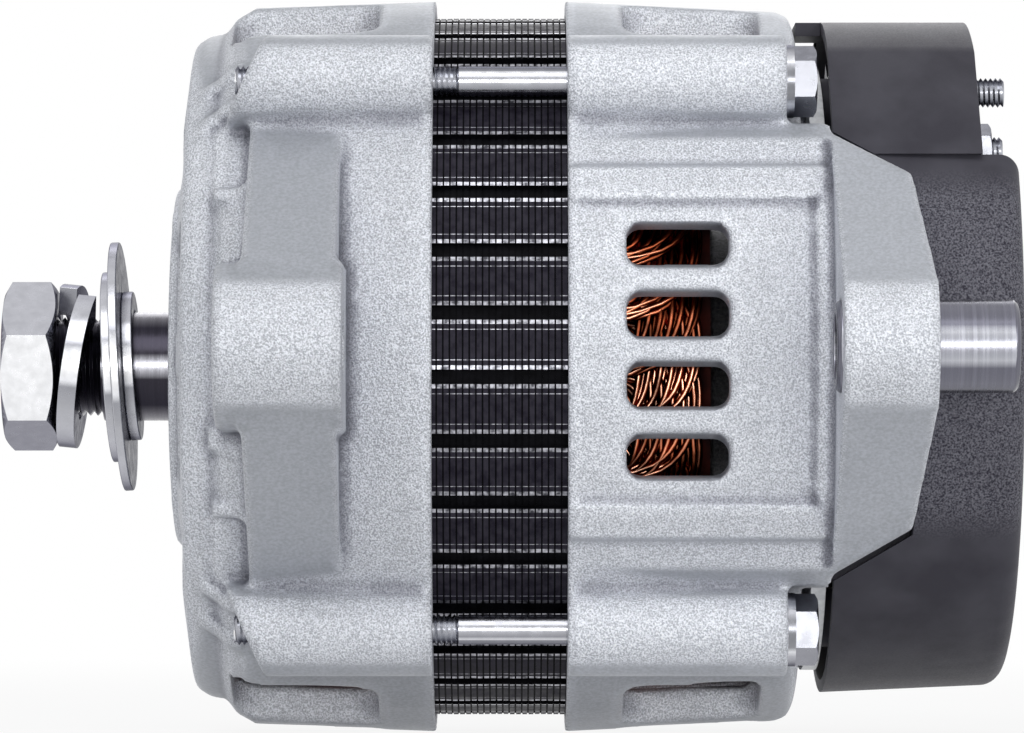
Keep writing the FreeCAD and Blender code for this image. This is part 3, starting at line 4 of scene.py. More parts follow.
import bmesh
import bpy
import numpy
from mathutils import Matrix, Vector


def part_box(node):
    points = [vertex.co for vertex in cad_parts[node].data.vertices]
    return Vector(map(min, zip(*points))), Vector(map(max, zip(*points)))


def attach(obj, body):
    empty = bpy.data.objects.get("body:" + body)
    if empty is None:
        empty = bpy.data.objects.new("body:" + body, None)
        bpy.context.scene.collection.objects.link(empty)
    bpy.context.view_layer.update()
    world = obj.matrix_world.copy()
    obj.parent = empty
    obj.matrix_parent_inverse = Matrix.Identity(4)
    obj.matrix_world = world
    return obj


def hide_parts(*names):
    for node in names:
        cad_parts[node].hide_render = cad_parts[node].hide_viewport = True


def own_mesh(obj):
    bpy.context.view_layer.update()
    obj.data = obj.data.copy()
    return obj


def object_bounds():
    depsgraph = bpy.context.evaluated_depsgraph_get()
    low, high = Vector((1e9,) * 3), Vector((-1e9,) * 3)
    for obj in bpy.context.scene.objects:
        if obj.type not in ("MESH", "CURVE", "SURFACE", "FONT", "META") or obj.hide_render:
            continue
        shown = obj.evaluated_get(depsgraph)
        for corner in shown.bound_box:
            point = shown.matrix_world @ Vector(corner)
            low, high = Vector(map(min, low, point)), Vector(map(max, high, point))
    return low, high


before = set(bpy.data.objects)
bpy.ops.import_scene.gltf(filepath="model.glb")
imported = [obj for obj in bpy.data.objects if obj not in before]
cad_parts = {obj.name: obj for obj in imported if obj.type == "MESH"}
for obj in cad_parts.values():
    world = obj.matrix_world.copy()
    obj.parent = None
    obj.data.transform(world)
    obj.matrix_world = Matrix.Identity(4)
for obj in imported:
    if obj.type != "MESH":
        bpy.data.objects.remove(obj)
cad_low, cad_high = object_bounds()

scene = bpy.context.scene
MM = 0.001

# Drive end and rear housings
# Two shells of sand cast aluminium, shot blasted and left bare, so every edge is soft and the
# skin is grainy. Their rims clamp the stator between them.

SOLID_MERGE = 0.002 * MM
CAST_VOXEL = 0.8 * MM
CAST_FACE_SHARE = 0.5


def cad_copy(node):
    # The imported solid's triangles, joined into one skin
    work = bmesh.new()
    work.from_mesh(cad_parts[node].data)
    bmesh.ops.remove_doubles(work, verts=work.verts, dist=SOLID_MERGE)
    return work


def place(work, name, body):
    # The finished mesh as a piece that rides on its body
    mesh = bpy.data.meshes.new(name)
    work.to_mesh(mesh)
    work.free()
    piece = bpy.data.objects.new(name, mesh)
    scene.collection.objects.link(piece)
    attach(piece, body)
    return piece


def bake_modifiers(piece):
    # The modifiers' result becomes the piece's own mesh
    graph = bpy.context.evaluated_depsgraph_get()
    result = bpy.data.meshes.new_from_object(piece.evaluated_get(graph))
    piece.modifiers.clear()
    piece.data = result
    piece.data.name = piece.name


def shade_smooth(mesh):
    for face in mesh.polygons:
        face.use_smooth = True


def cast_skin(node, name, body):
    # The solid grown into one soft skin, as sand and blasting leave it
    piece = place(cad_copy(node), name, body)
    skin = piece.modifiers.new("skin", "REMESH")
    skin.mode = "VOXEL"
    skin.voxel_size = CAST_VOXEL
    skin.use_smooth_shade = True
    soften = piece.modifiers.new("soften", "SMOOTH")
    soften.factor = 0.5
    soften.iterations = 1
    thin = piece.modifiers.new("thin", "DECIMATE")
    thin.ratio = CAST_FACE_SHARE
    bake_modifiers(piece)
    shade_smooth(piece.data)
    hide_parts(node)
    return piece


def start_material(name, metallic, roughness, specular=0.5):
    material = bpy.data.materials.new(name)
    material.use_nodes = True
    shader = material.node_tree.nodes["Principled BSDF"]
    shader.inputs["Metallic"].default_value = metallic
    shader.inputs["Roughness"].default_value = roughness
    shader.inputs["Specular IOR Level"].default_value = specular
    return material


def add_node(tree, kind, **values):
    node = tree.nodes.new(kind)
    for key, value in values.items():
        setattr(node, key, value)
    return node


def start_group(name, inputs, outputs):
    # A shader node group with named sockets
    tree = bpy.data.node_groups.new(name, "ShaderNodeTree")
    for label, kind in inputs:
        tree.interface.new_socket(label, in_out="INPUT", socket_type=kind)
    for label, kind in outputs:
        tree.interface.new_socket(label, in_out="OUTPUT", socket_type=kind)
    return tree, add_node(tree, "NodeGroupInput"), add_node(tree, "NodeGroupOutput")


def grain_group():
    # Fine grain of any surface: a mask and a bumped normal
    tree, entry, leave = start_group(
        "surface_grain",
        [("Scale", "NodeSocketFloat"), ("Depth", "NodeSocketFloat"), ("Detail", "NodeSocketFloat")],
        [("Mask", "NodeSocketFloat"), ("Normal", "NodeSocketVector")])
    start = add_node(tree, "ShaderNodeTexCoord")
    noise = add_node(tree, "ShaderNodeTexNoise")
    bump = add_node(tree, "ShaderNodeBump")
    link = tree.links.new
    link(start.outputs["Object"], noise.inputs["Vector"])
    link(entry.outputs["Scale"], noise.inputs["Scale"])
    link(entry.outputs["Detail"], noise.inputs["Detail"])
    link(noise.outputs["Fac"], bump.inputs["Height"])
    link(entry.outputs["Depth"], bump.inputs["Distance"])
    link(noise.outputs["Fac"], leave.inputs["Mask"])
    link(bump.outputs["Normal"], leave.inputs["Normal"])
    return tree


surface_grain = grain_group()


def add_grain(material, scale, depth, detail=3.0):
    # The depth is in millimetres
    node = add_node(material.node_tree, "ShaderNodeGroup", node_tree=surface_grain)
    node.inputs["Scale"].default_value = scale
    node.inputs["Depth"].default_value = depth * MM
    node.inputs["Detail"].default_value = detail
    return node


# Where the dark and the light end of a noise mask lie, for its colours and for the gloss
MASK_LOW = 0.35
MASK_HIGH = 0.65
GLOSS_LOW = 0.3
GLOSS_HIGH = 0.7


def shade_input(material, name, socket):
    tree = material.node_tree
    tree.links.new(socket, tree.nodes["Principled BSDF"].inputs[name])


def ramp_of(tree, mask, stops):
    # Colours laid over the surface by a mask, with as many stops as are given
    ramp = add_node(tree, "ShaderNodeValToRGB")
    while len(ramp.color_ramp.elements) < len(stops):
        ramp.color_ramp.elements.new(0.5)
    for element, (position, colour) in zip(ramp.color_ramp.elements, stops):
        element.position = position
        element.color = (*colour, 1.0)
    tree.links.new(mask, ramp.inputs["Fac"])
    return ramp.outputs["Color"]


def blend_colours(material, mask, low, high):
    colours = ramp_of(material.node_tree, mask, [(MASK_LOW, low), (MASK_HIGH, high)])
    shade_input(material, "Base Color", colours)


def vary_roughness(material, mask, low, high):
    spread = add_node(material.node_tree, "ShaderNodeMapRange")
    spread.inputs["From Min"].default_value = GLOSS_LOW
    spread.inputs["From Max"].default_value = GLOSS_HIGH
    spread.inputs["To Min"].default_value = low
    spread.inputs["To Max"].default_value = high
    material.node_tree.links.new(mask, spread.inputs["Value"])
    shade_input(material, "Roughness", spread.outputs["Result"])


def mix(tree, kind, share, first, second):
    # Two colours (RGBA) or two normals (VECTOR), mixed by a mask
    mixed = add_node(tree, "ShaderNodeMix", data_type=kind)
    tree.links.new(share, mixed.inputs["Factor"])
    tree.links.new(first, mixed.inputs["A"])
    tree.links.new(second, mixed.inputs["B"])
    return mixed.outputs["Result"]


def multiply(tree, first, second):
    product = add_node(tree, "ShaderNodeMix", data_type="RGBA", blend_type="MULTIPLY")
    product.inputs["Factor"].default_value = 1.0
    tree.links.new(first, product.inputs["A"])
    tree.links.new(second, product.inputs["B"])
    return product.outputs["Result"]


# The last colours are near black, painted shade for the inside of the castings
CAST_COLOURS = [
    ("blasted", 0.36, (0.42, 0.436, 0.478), 0.64, (0.85, 0.87, 0.925)),
    ("drafted", MASK_LOW, (0.355, 0.371, 0.404), MASK_HIGH, (0.435, 0.453, 0.495)),
    ("drafted", MASK_LOW, (0.10, 0.10, 0.11), MASK_HIGH, (0.20, 0.20, 0.215))]
# Painted shade in corners and painted highlight on edges, by the relief height
RELIEF_PAINTED_LIGHT = [
    (0.0, (0.30, 0.30, 0.33)), (0.30, (0.62, 0.62, 0.65)), (0.45, (0.97, 0.97, 0.98)),
    (0.54, (1.0, 1.0, 1.0)), (0.62, (1.12, 1.12, 1.12)), (0.80, (1.0, 1.0, 1.0))]


def cast_aluminium(name, level):
    # Coarse grain where the shot strikes square, finer on drafted sides, near black inside as painted shade
    material = start_material(name, metallic=0.3, roughness=0.5)
    tree = material.node_tree
    blasted = add_grain(material, scale=2900.0, depth=0.27, detail=1.5)
    drafted = add_grain(material, scale=1500.0, depth=0.03, detail=2.0)
    mottle = add_grain(material, scale=60.0, depth=0.0)
    layers = []
    for grain, start, low, end, high in CAST_COLOURS:
        mask = (blasted if grain == "blasted" else drafted).outputs["Mask"]
        stops = [(start, [level * value for value in low]), (end, [level * value for value in high])]
        layers.append(ramp_of(tree, mask, stops))
    flank, inside, height = [
        add_node(tree, "ShaderNodeAttribute", attribute_name=label).outputs["Fac"]
        for label in ("drafted", "core_side", "relief")]
    outer = mix(tree, "RGBA", flank, layers[0], layers[1])
    # Corners darkened as painted shade and edges lightened as painted highlight
    relief_painted = multiply(tree, outer, ramp_of(tree, height, RELIEF_PAINTED_LIGHT))
    # Inside, near black as painted shade
    shade_input(material, "Base Color", mix(tree, "RGBA", inside, relief_painted, layers[2]))
    vary_roughness(material, mottle.outputs["Mask"], 0.42, 0.58)
    normal = mix(tree, "VECTOR", flank, blasted.outputs["Normal"], drafted.outputs["Normal"])
    shade_input(material, "Normal", normal)
    return material


def dress(piece, material):
    piece.data.materials.append(material)


# A height of 0.5 is level with the skin around it, less lies in a corner and more on an edge. Below it the
# casting gets painted shade, above it painted highlight
RELIEF_TURNS = 14
RELIEF_RANGE = 1.0 * MM
DRAFTED_START = 0.66
DRAFTED_END = 0.80
INSIDE_RADIUS = 66.0 * MM
INSIDE_MIDDLE_X = 66.0 * MM
INSIDE_REACH_X = 50.0 * MM


def smooth_step(value, low, high):
    share = min(1.0, max(0.0, (value - low) / (high - low)))
    return share * share * (3 - 2 * share)


def spread_out(values, edges, turns):
    # Each point's value blended with its neighbours', over and over
    first, second = edges[:, 0], edges[:, 1]
    count = len(values)
    links = numpy.bincount(first, minlength=count) + numpy.bincount(second, minlength=count)
    for _ in range(turns):
        total = values.copy()
        total += numpy.bincount(first, weights=values[second], minlength=count)
        total += numpy.bincount(second, weights=values[first], minlength=count)
        values = total / (links + 1)
    return values


def add_attribute(mesh, name, values):
    layer = mesh.attributes.new(name, "FLOAT", "POINT")
    layer.data.foreach_set("value", values.astype(numpy.float32))


def mark_skin(piece):
    # Which points lie on sides that face up or down, which lie inside, and how far each stands out
    mesh = piece.data
    count = len(mesh.vertices)
    points = numpy.empty(count * 3)
    normals = numpy.empty(count * 3)
    edges = numpy.empty(len(mesh.edges) * 2, dtype=numpy.int64)
    mesh.vertices.foreach_get("co", points)
    mesh.vertices.foreach_get("normal", normals)
    mesh.edges.foreach_get("vertices", edges)
    points = points.reshape(-1, 3)
    normals = normals.reshape(-1, 3)
    edges = edges.reshape(-1, 2)
    upright = [smooth_step(abs(value), DRAFTED_START, DRAFTED_END) for value in normals[:, 2]]
    add_attribute(mesh, "drafted", spread_out(numpy.array(upright), edges, 2))
    radius = numpy.hypot(points[:, 1], points[:, 2])
    inside = (radius < INSIDE_RADIUS) & (numpy.abs(points[:, 0] - INSIDE_MIDDLE_X) < INSIDE_REACH_X)
    add_attribute(mesh, "core_side", spread_out(inside.astype(float), edges, 1))
    height = numpy.zeros(count)
    for axis in range(3):
        around = spread_out(points[:, axis].copy(), edges, RELIEF_TURNS)
        height += normals[:, axis] * (points[:, axis] - around)
    add_attribute(mesh, "relief", numpy.clip(0.5 + height / (2 * RELIEF_RANGE), 0.0, 1.0))


for node, name, level in (("drive_end_housing", "drive_end_casting", 0.96),
                          ("rear_housing", "rear_casting", 1.05)):
    casting = cast_skin(node, name, "housing")
    mark_skin(casting)
    dress(casting, cast_aluminium(name + "_metal", level))


# Stator core
# A stack of thin electrical steel sheets, dipped in dark varnish. The sheets' edges stay visible
# all round, and grooves along the rim mark the slots.

# Bright strips beside the grooves are painted highlight, and the near black gaps and groove floors painted
# shade
SHEET_COUNT = 27
SHEET_GAP_SHARE = 0.26
SHEET_GAP_DEPTH = 0.28 * MM
SHEET_UNEVENNESS = 0.07 * MM
RIM_WALL_RADIUS = 68.8 * MM
LIP_WIDTH = 0.8 * MM
LINE_START = 1.75 * MM
LINE_WIDTH = 0.16 * MM
GROOVE_HALF_WIDTH = 1.4 * MM
GROOVE_CLOCK = 4.0
GROOVE_STEP = 10.0
LIP_RADIUS = 70.0 * MM
RIM_MERGE = 0.01 * MM
SLANT = 0.5
SHEETS, HIGHLIT_LIPS, SHADED_GAPS = 0, 1, 2

core_low, core_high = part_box("stator_core")


def radius_of(point):
    return math.hypot(point.y, point.z)


def split_lips(work, edges):
    # The outline cut beside each groove, for a bright strip along the groove's edge and then a fine bright
    # line, both painted highlight
    for edge in list(edges):
        first, second = edge.verts
        if min(radius_of(first.co), radius_of(second.co)) < LIP_RADIUS:
            continue
        for corner, other in ((first, second), (second, first)):
            inward = [item for item in corner.link_edges if item.is_boundary
                      and radius_of(item.other_vert(corner).co) < LIP_RADIUS]
            if not inward:
                continue
            rest, start = edge, corner
            for length in (LIP_WIDTH, LINE_START - LIP_WIDTH, LINE_WIDTH):
                made, vert = bmesh.utils.edge_split(rest, start, length / rest.calc_length())
                edges.append(made)
                rest = rest if other in rest.verts else made
                start = vert
            break


def rim_place(point):
    # The way along the rim from the edge of the nearest groove
    turn = math.degrees(math.atan2(point.z, point.y)) - GROOVE_CLOCK
    away = abs((turn + GROOVE_STEP / 2) % GROOVE_STEP - GROOVE_STEP / 2)
    return math.radians(away) * radius_of(point) - GROOVE_HALF_WIDTH


def laminated_core():
    # The rim's wall is taken off and drawn up again sheet by sheet, with a fine gap behind each
    work = cad_copy("stator_core")
    rim = []
    for face in work.faces:
        outside = all(radius_of(vert.co) > RIM_WALL_RADIUS for vert in face.verts)
        if outside and abs(face.normal.x) < SLANT:
            rim.append(face)
    bmesh.ops.delete(work, geom=rim, context="FACES")
    edges = []
    for edge in work.edges:
        if edge.is_boundary and all(abs(vert.co.x - core_low.x) < RIM_MERGE for vert in edge.verts):
            edges.append(edge)
    split_lips(work, edges)
    pitch = (core_high.x - core_low.x) / SHEET_COUNT
    chance = random.Random(4)
    offset = 0.0
    for sheet in range(SHEET_COUNT):
        rise = chance.uniform(-1, 0) * SHEET_UNEVENNESS
        last = sheet == SHEET_COUNT - 1
        moves = [(0.0, rise, False), (pitch * (1 - SHEET_GAP_SHARE), rise, False),
                 (0.0, -SHEET_GAP_DEPTH, True),
                 (pitch * SHEET_GAP_SHARE, 0.0 if last else -SHEET_GAP_DEPTH, True)]
        for advance, target, is_gap in moves:
            made = bmesh.ops.extrude_edge_only(work, edges=edges)["geom"]
            verts = [item for item in made if isinstance(item, bmesh.types.BMVert)]
            edges = [item for item in made if isinstance(item, bmesh.types.BMEdge)]
            for face in made:
                if isinstance(face, bmesh.types.BMFace):
                    face.material_index = SHADED_GAPS if is_gap else SHEETS
            for vert in verts:
                scale = 1 + (target - offset) / radius_of(vert.co)
                vert.co = Vector((vert.co.x + advance, vert.co.y * scale, vert.co.z * scale))
            offset = target
    bmesh.ops.remove_doubles(work, verts=work.verts, dist=RIM_MERGE)
    bmesh.ops.recalc_face_normals(work, faces=work.faces)
    for face in work.faces:
        middle = face.calc_center_median()
        if face.material_index == SHADED_GAPS or abs(face.normal.x) > SLANT:
            continue
        # Groove floors get the near black of painted shade
        if radius_of(middle) < LIP_RADIUS:
            face.material_index = SHADED_GAPS if radius_of(middle) > RIM_WALL_RADIUS else SHEETS
            continue
        # The strip beside each groove and the fine line are bright as painted highlight
        place_on_rim = rim_place(middle)
        in_line = abs(place_on_rim - LINE_START - LINE_WIDTH / 2) < LINE_WIDTH
        if 0 < place_on_rim < LIP_WIDTH or in_line:
            face.material_index = HIGHLIT_LIPS
    return work


def varnished_sheets():
    material = start_material("varnished_sheets", metallic=0.0, roughness=0.5, specular=0.08)
    grain = add_grain(material, scale=500.0, depth=0.03)
    blend_colours(material, grain.outputs["Mask"], (0.014, 0.012, 0.021), (0.036, 0.033, 0.046))
    vary_roughness(material, grain.outputs["Mask"], 0.35, 0.60)
    shade_input(material, "Normal", grain.outputs["Normal"])
    return material


# Bright bare steel, painted highlight where the groove edges catch the light
def sheet_edge_highlight():
    material = start_material("sheet_edge_highlight", metallic=0.9, roughness=0.3)
    grain = add_grain(material, scale=900.0, depth=0.02)
    blend_colours(material, grain.outputs["Mask"], (0.05, 0.05, 0.06), (0.46, 0.46, 0.51))
    shade_input(material, "Normal", grain.outputs["Normal"])
    return material


# Near black, painted shade in the gaps between sheets and in the grooves
def painted_gap_shade():
    material = start_material("painted_gap_shade", metallic=0.0, roughness=0.6, specular=0.05)
    grain = add_grain(material, scale=500.0, depth=0.02)
    blend_colours(material, grain.outputs["Mask"], (0.002, 0.002, 0.003), (0.006, 0.006, 0.008))
    shade_input(material, "Normal", grain.outputs["Normal"])
    return material


core_piece = place(laminated_core(), "stator_stack", "housing")
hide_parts("stator_core")
dress(core_piece, varnished_sheets())
core_piece.data.materials.append(sheet_edge_highlight())
core_piece.data.materials.append(painted_gap_shade())


# Stator winding
# Enamelled copper wire, wound through the slots in coils that span three slots. Outside the stack
# the wires of each coil bend over to the next slot and cross the coils beside them.

SLOTS = 36
COIL_SPAN = 3
WIRES_PER_COIL = 12
WIRE_RADIUS = 0.7 * MM
SLOT_CLOCK = -4.0
WIRE_SPREAD = 0.08
LOWEST_WIRE = 0.46
WIRE_STEP_UP = 0.49
PATH_STEPS = 10
BEND_POWER = 0.55
BEND_START = 0.5 * MM
BEND_ROOM = 1.5 * MM
CROSSING_SLIP = 0.10
ANGLE_SCATTER = 0.008
LAYER_STEP = 0.7 * MM
RADIUS_SCATTER = 0.25 * MM
HEAD_START_RADIUS = 62.0 * MM
HEAD_END_RADIUS = 57.5 * MM
BAR_END = 1.5 * MM
PAPER_RADIUS = 55.9 * MM
PAPER_THICKNESS = 0.4 * MM
PAPER_TURN = 3.2 * MM
PAPER_SIDES = 96
PAPER_MERGE = 0.005 * MM
PAPER_TIP_ROOM = 0.3 * MM

winding_low, winding_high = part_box("stator_winding")


def coil_path(slot, wire, stack_x, reach, chance):
    # One wire's way over the end of the stack, from its slot to the slot of the next pole
    direction = 1 if reach > 0 else -1
    start = math.radians(SLOT_CLOCK + 360 / SLOTS * (slot + WIRE_SPREAD * (wire % 3 - 1)))
    turn = math.radians(360 / SLOTS * COIL_SPAN)
    layer = wire / (WIRES_PER_COIL - 1)
    height = reach * (LOWEST_WIRE + WIRE_STEP_UP * layer)
    points = []
    for step in range(PATH_STEPS + 1):
        share = step / PATH_STEPS
        rise = math.sin(math.pi * share) ** BEND_POWER
        x = stack_x + direction * BEND_START + (height - direction * BEND_ROOM) * rise
        slip = share - CROSSING_SLIP * math.sin(2 * math.pi * share)
        angle = start + turn * slip + chance.uniform(-1, 1) * ANGLE_SCATTER
        radius = HEAD_START_RADIUS + (HEAD_END_RADIUS - HEAD_START_RADIUS) * share
        radius += LAYER_STEP * math.sin(math.pi * share) * (1 - 2 * (wire % 2))
        radius += chance.uniform(-1, 1) * RADIUS_SCATTER
        points.append((x, -radius * math.cos(angle), radius * math.sin(angle)))
    return points


def coil_ends(name, stack_x, reach, seed):
    # All the wires past one end of the stack, drawn as round curves and made into one mesh
    chance = random.Random(seed)
    curve = bpy.data.curves.new(name, "CURVE")
    curve.dimensions = "3D"
    curve.bevel_depth = WIRE_RADIUS
    curve.bevel_resolution = 1
    curve.use_fill_caps = True
    for slot in range(SLOTS):
        for wire in range(WIRES_PER_COIL):
            points = coil_path(slot, wire, stack_x, reach, chance)
            spline = curve.splines.new("NURBS")
            spline.points.add(len(points) - 1)
            for target, point in zip(spline.points, points):
                target.co = (*point, 1.0)
            spline.order_u = 4
            spline.use_endpoint_u = True
            spline.resolution_u = 2
    maker = bpy.data.objects.new(name + "_path", curve)
    scene.collection.objects.link(maker)
    bpy.context.view_layer.update()
    graph = bpy.context.evaluated_depsgraph_get()
    mesh = bpy.data.meshes.new_from_object(maker.evaluated_get(graph))
    bpy.data.objects.remove(maker)
    mesh.name = name
    shade_smooth(mesh)
    piece = bpy.data.objects.new(name, mesh)
    scene.collection.objects.link(piece)
    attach(piece, "housing")
    return piece


def cut_away(work, x, keep_above):
    # Removes what lies on one side of a plane across the X axis and closes the cut
    normal = (-1, 0, 0) if keep_above else (1, 0, 0)
    geometry = work.verts[:] + work.edges[:] + work.faces[:]
    cut = bmesh.ops.bisect_plane(work, geom=geometry, plane_co=(x, 0, 0), plane_no=normal,
                                 clear_outer=True)
    rims = [item for item in cut["geom_cut"] if isinstance(item, bmesh.types.BMEdge)]
    bmesh.ops.holes_fill(work, edges=rims)


def slot_bars():
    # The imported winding, cut off just outside the stack
    work = cad_copy("stator_winding")
    cut_away(work, core_low.x - BAR_END, True)
    cut_away(work, core_high.x + BAR_END, False)
    return work


def painted_facing_light(material, stops):
    # Painted highlight and painted shade: colours from the face that looks at the viewer to the one that
    # turns away
    tree = material.node_tree
    facing = add_node(tree, "ShaderNodeLayerWeight")
    facing.inputs["Blend"].default_value = 0.5
    return ramp_of(tree, facing.outputs["Facing"], stops)


def tint(material, colours, mask, low, high):
    # Lays a grain of light and dark over colours
    tree = material.node_tree
    shade = ramp_of(tree, mask, [(MASK_LOW, (low, low, low)), (MASK_HIGH, (high, high, high))])
    shade_input(material, "Base Color", multiply(tree, colours, shade))


def enamelled_copper():
    material = start_material("enamelled_copper", metallic=1.0, roughness=0.22)
    # Painted highlight, orange to white where a wire faces the viewer, and painted shade, dark red where it
    # turns away
    grain = add_grain(material, scale=170.0, depth=0.0)
    colours = painted_facing_light(material, [(0.0, (1.0, 0.55, 0.38)), (0.03, (0.92, 0.23, 0.09)),
                                        (0.16, (0.48, 0.052, 0.018)), (0.42, (0.17, 0.014, 0.006)),
                                        (1.0, (0.05, 0.006, 0.005))])
    tint(material, colours, grain.outputs["Mask"], 0.16, 1.0)
    vary_roughness(material, grain.outputs["Mask"], 0.14, 0.3)
    return material


def paper_strip(name, start, end):
    # A band of varnished paper that lines the inside of the coil ends and turns over their tips. Its dark
    # red stands in for the shade between the wires, as painted shade
    work = bmesh.new()
    turn = math.copysign(PAPER_TURN, end - start)
    middle = end - turn
    outer = PAPER_RADIUS + PAPER_THICKNESS
    outline = [(start, PAPER_RADIUS), (middle, PAPER_RADIUS), (end, PAPER_RADIUS + PAPER_TURN),
               (end, outer + PAPER_TURN), (middle, outer), (start, outer)]
    verts = [work.verts.new((x, radius, 0)) for x, radius in outline]
    for step in range(len(verts)):
        work.edges.new((verts[step], verts[(step + 1) % len(verts)]))
    bmesh.ops.spin(work, geom=work.verts[:] + work.edges[:], cent=(0, 0, 0), axis=(1, 0, 0),
                   dvec=(0, 0, 0), angle=math.tau, steps=PAPER_SIDES, use_merge=True)
    bmesh.ops.remove_doubles(work, verts=work.verts, dist=PAPER_MERGE)
    bmesh.ops.recalc_face_normals(work, faces=work.faces)
    return place(work, name, "housing")


def paper_as_wire_shade():
    material = start_material("paper_as_wire_shade", metallic=0.0, roughness=0.5)
    grain = add_grain(material, scale=200.0, depth=0.05)
    # Dark red, as painted shade between the wires
    blend_colours(material, grain.outputs["Mask"], (0.012, 0.003, 0.003), (0.060, 0.010, 0.007))
    shade_input(material, "Normal", grain.outputs["Normal"])
    return material


copper = enamelled_copper()
paper = paper_as_wire_shade()
for name, start, end in (("front_paper", core_low.x, winding_low.x + PAPER_TIP_ROOM),
                         ("rear_paper", core_high.x, winding_high.x - PAPER_TIP_ROOM)):
    dress(paper_strip(name, start, end), paper)
rear_ends = coil_ends("rear_coil_ends", core_high.x, winding_high.x - core_high.x, 7)
front_ends = coil_ends("front_coil_ends", core_low.x, winding_low.x - core_low.x, 11)
bars = place(slot_bars(), "slot_conductors", "housing")
for piece in (rear_ends, front_ends, bars):
    dress(piece, copper)
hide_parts("stator_winding")


# Machined and pressed pieces
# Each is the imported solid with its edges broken, as turning, pressing and deburring leave them.

SMOOTH_ANGLE = math.radians(32)
FLAT_ANGLE = math.radians(0.6)


def edged_copy(node, name, body, edge, work=None):
    # The solid with every sharp edge broken by a small bevel, its width in millimetres
    if work is None:
        work = cad_copy(node)
    bmesh.ops.dissolve_limit(work, angle_limit=FLAT_ANGLE, verts=work.verts, edges=work.edges)
    for face in work.faces:
        face.smooth = True
    for item in work.edges:
        sharp = len(item.link_faces) == 2 and item.calc_face_angle(0.0) > SMOOTH_ANGLE
        item.smooth = not sharp
    piece = place(work, name, body)
    if edge:
        bevel = piece.modifiers.new("edges", "BEVEL")
        bevel.width = edge * MM
        bevel.segments = 2
        bevel.limit_method = "ANGLE"
        bevel.angle_limit = SMOOTH_ANGLE
        bevel.use_clamp_overlap = True
        bevel.harden_normals = True
    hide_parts(node)
    return piece


def turning_group():
    # Fine rings that a lathe leaves around the X axis
    tree, entry, leave = start_group(
        "turning_marks",
        [("Vector", "NodeSocketVector"), ("Scale", "NodeSocketFloat"), ("Depth", "NodeSocketFloat")],
        [("Mask", "NodeSocketFloat"), ("Normal", "NodeSocketVector")])
    split = add_node(tree, "ShaderNodeSeparateXYZ")
    flat = add_node(tree, "ShaderNodeCombineXYZ")
    length = add_node(tree, "ShaderNodeVectorMath", operation="LENGTH")
    rings = add_node(tree, "ShaderNodeCombineXYZ")
    noise = add_node(tree, "ShaderNodeTexNoise")
    noise.inputs["Detail"].default_value = 4.0
    bump = add_node(tree, "ShaderNodeBump")
    link = tree.links.new
    link(entry.outputs["Vector"], split.inputs["Vector"])
    link(split.outputs["Y"], flat.inputs["Y"])
    link(split.outputs["Z"], flat.inputs["Z"])
    link(flat.outputs["Vector"], length.inputs[0])
    link(split.outputs["X"], rings.inputs["X"])
    link(length.outputs["Value"], rings.inputs["Y"])
    link(rings.outputs["Vector"], noise.inputs["Vector"])
    link(entry.outputs["Scale"], noise.inputs["Scale"])
    link(noise.outputs["Fac"], bump.inputs["Height"])
    link(entry.outputs["Depth"], bump.inputs["Distance"])
    link(noise.outputs["Fac"], leave.inputs["Mask"])
    link(bump.outputs["Normal"], leave.inputs["Normal"])
    return tree


turning_marks = turning_group()


def add_turning(material, scale, depth, centre=(0.0, 0.0, 0.0)):
    tree = material.node_tree
    start = add_node(tree, "ShaderNodeTexCoord")
    moved = add_node(tree, "ShaderNodeMapping")
    moved.inputs["Location"].default_value = [-value for value in centre]
    node = add_node(tree, "ShaderNodeGroup", node_tree=turning_marks)
    node.inputs["Scale"].default_value = scale
    node.inputs["Depth"].default_value = depth * MM
    tree.links.new(start.outputs["Object"], moved.inputs["Vector"])
    tree.links.new(moved.outputs["Vector"], node.inputs["Vector"])
    return node


def plated_zinc(name, stops):
    # Painted reflection: the colours follow how squarely each face looks at the viewer
    material = start_material(name, metallic=1.0, roughness=0.2)
    shader = material.node_tree.nodes["Principled BSDF"]
    shader.inputs["Specular Tint"].default_value = (0.35, 0.35, 0.38, 1.0)
    grain = add_grain(material, scale=420.0, depth=0.01)
    colours = painted_facing_light(material, stops)
    tint(material, colours, grain.outputs["Mask"], 0.90, 1.0)
    vary_roughness(material, grain.outputs["Mask"], 0.16, 0.30)
    shade_input(material, "Normal", grain.outputs["Normal"])
    return material


def turned_steel(name, low, high, smooth, rough, centre=(0.0, 0.0, 0.0)):
    material = start_material(name, 1.0, (smooth + rough) / 2)
    marks = add_turning(material, 2600.0, 0.003, centre)
    blend_colours(material, marks.outputs["Mask"], low, high)
    vary_roughness(material, marks.outputs["Mask"], smooth, rough)
    shade_input(material, "Normal", marks.outputs["Normal"])
    return material


def grained(name, low, high, metallic, smooth, rough, scale, depth):
    material = start_material(name, metallic, (smooth + rough) / 2)
    grain = add_grain(material, scale, depth)
    blend_colours(material, grain.outputs["Mask"], low, high)
    vary_roughness(material, grain.outputs["Mask"], smooth, rough)
    shade_input(material, "Normal", grain.outputs["Normal"])
    return material


def steel_with_painted_band(name, stops, depth, centre=(0.0, 0.0, 0.0)):
    # Ground steel, whose round faces show a painted reflection: a bright band of painted highlight between
    # dark ones
    material = start_material(name, metallic=1.0, roughness=0.25)
    marks = add_turning(material, 1400.0, depth, centre)
    tint(material, painted_facing_light(material, stops), marks.outputs["Mask"], 0.80, 1.0)
    vary_roughness(material, marks.outputs["Mask"], 0.2, 0.32)
    shade_input(material, "Normal", marks.outputs["Normal"])
    return material


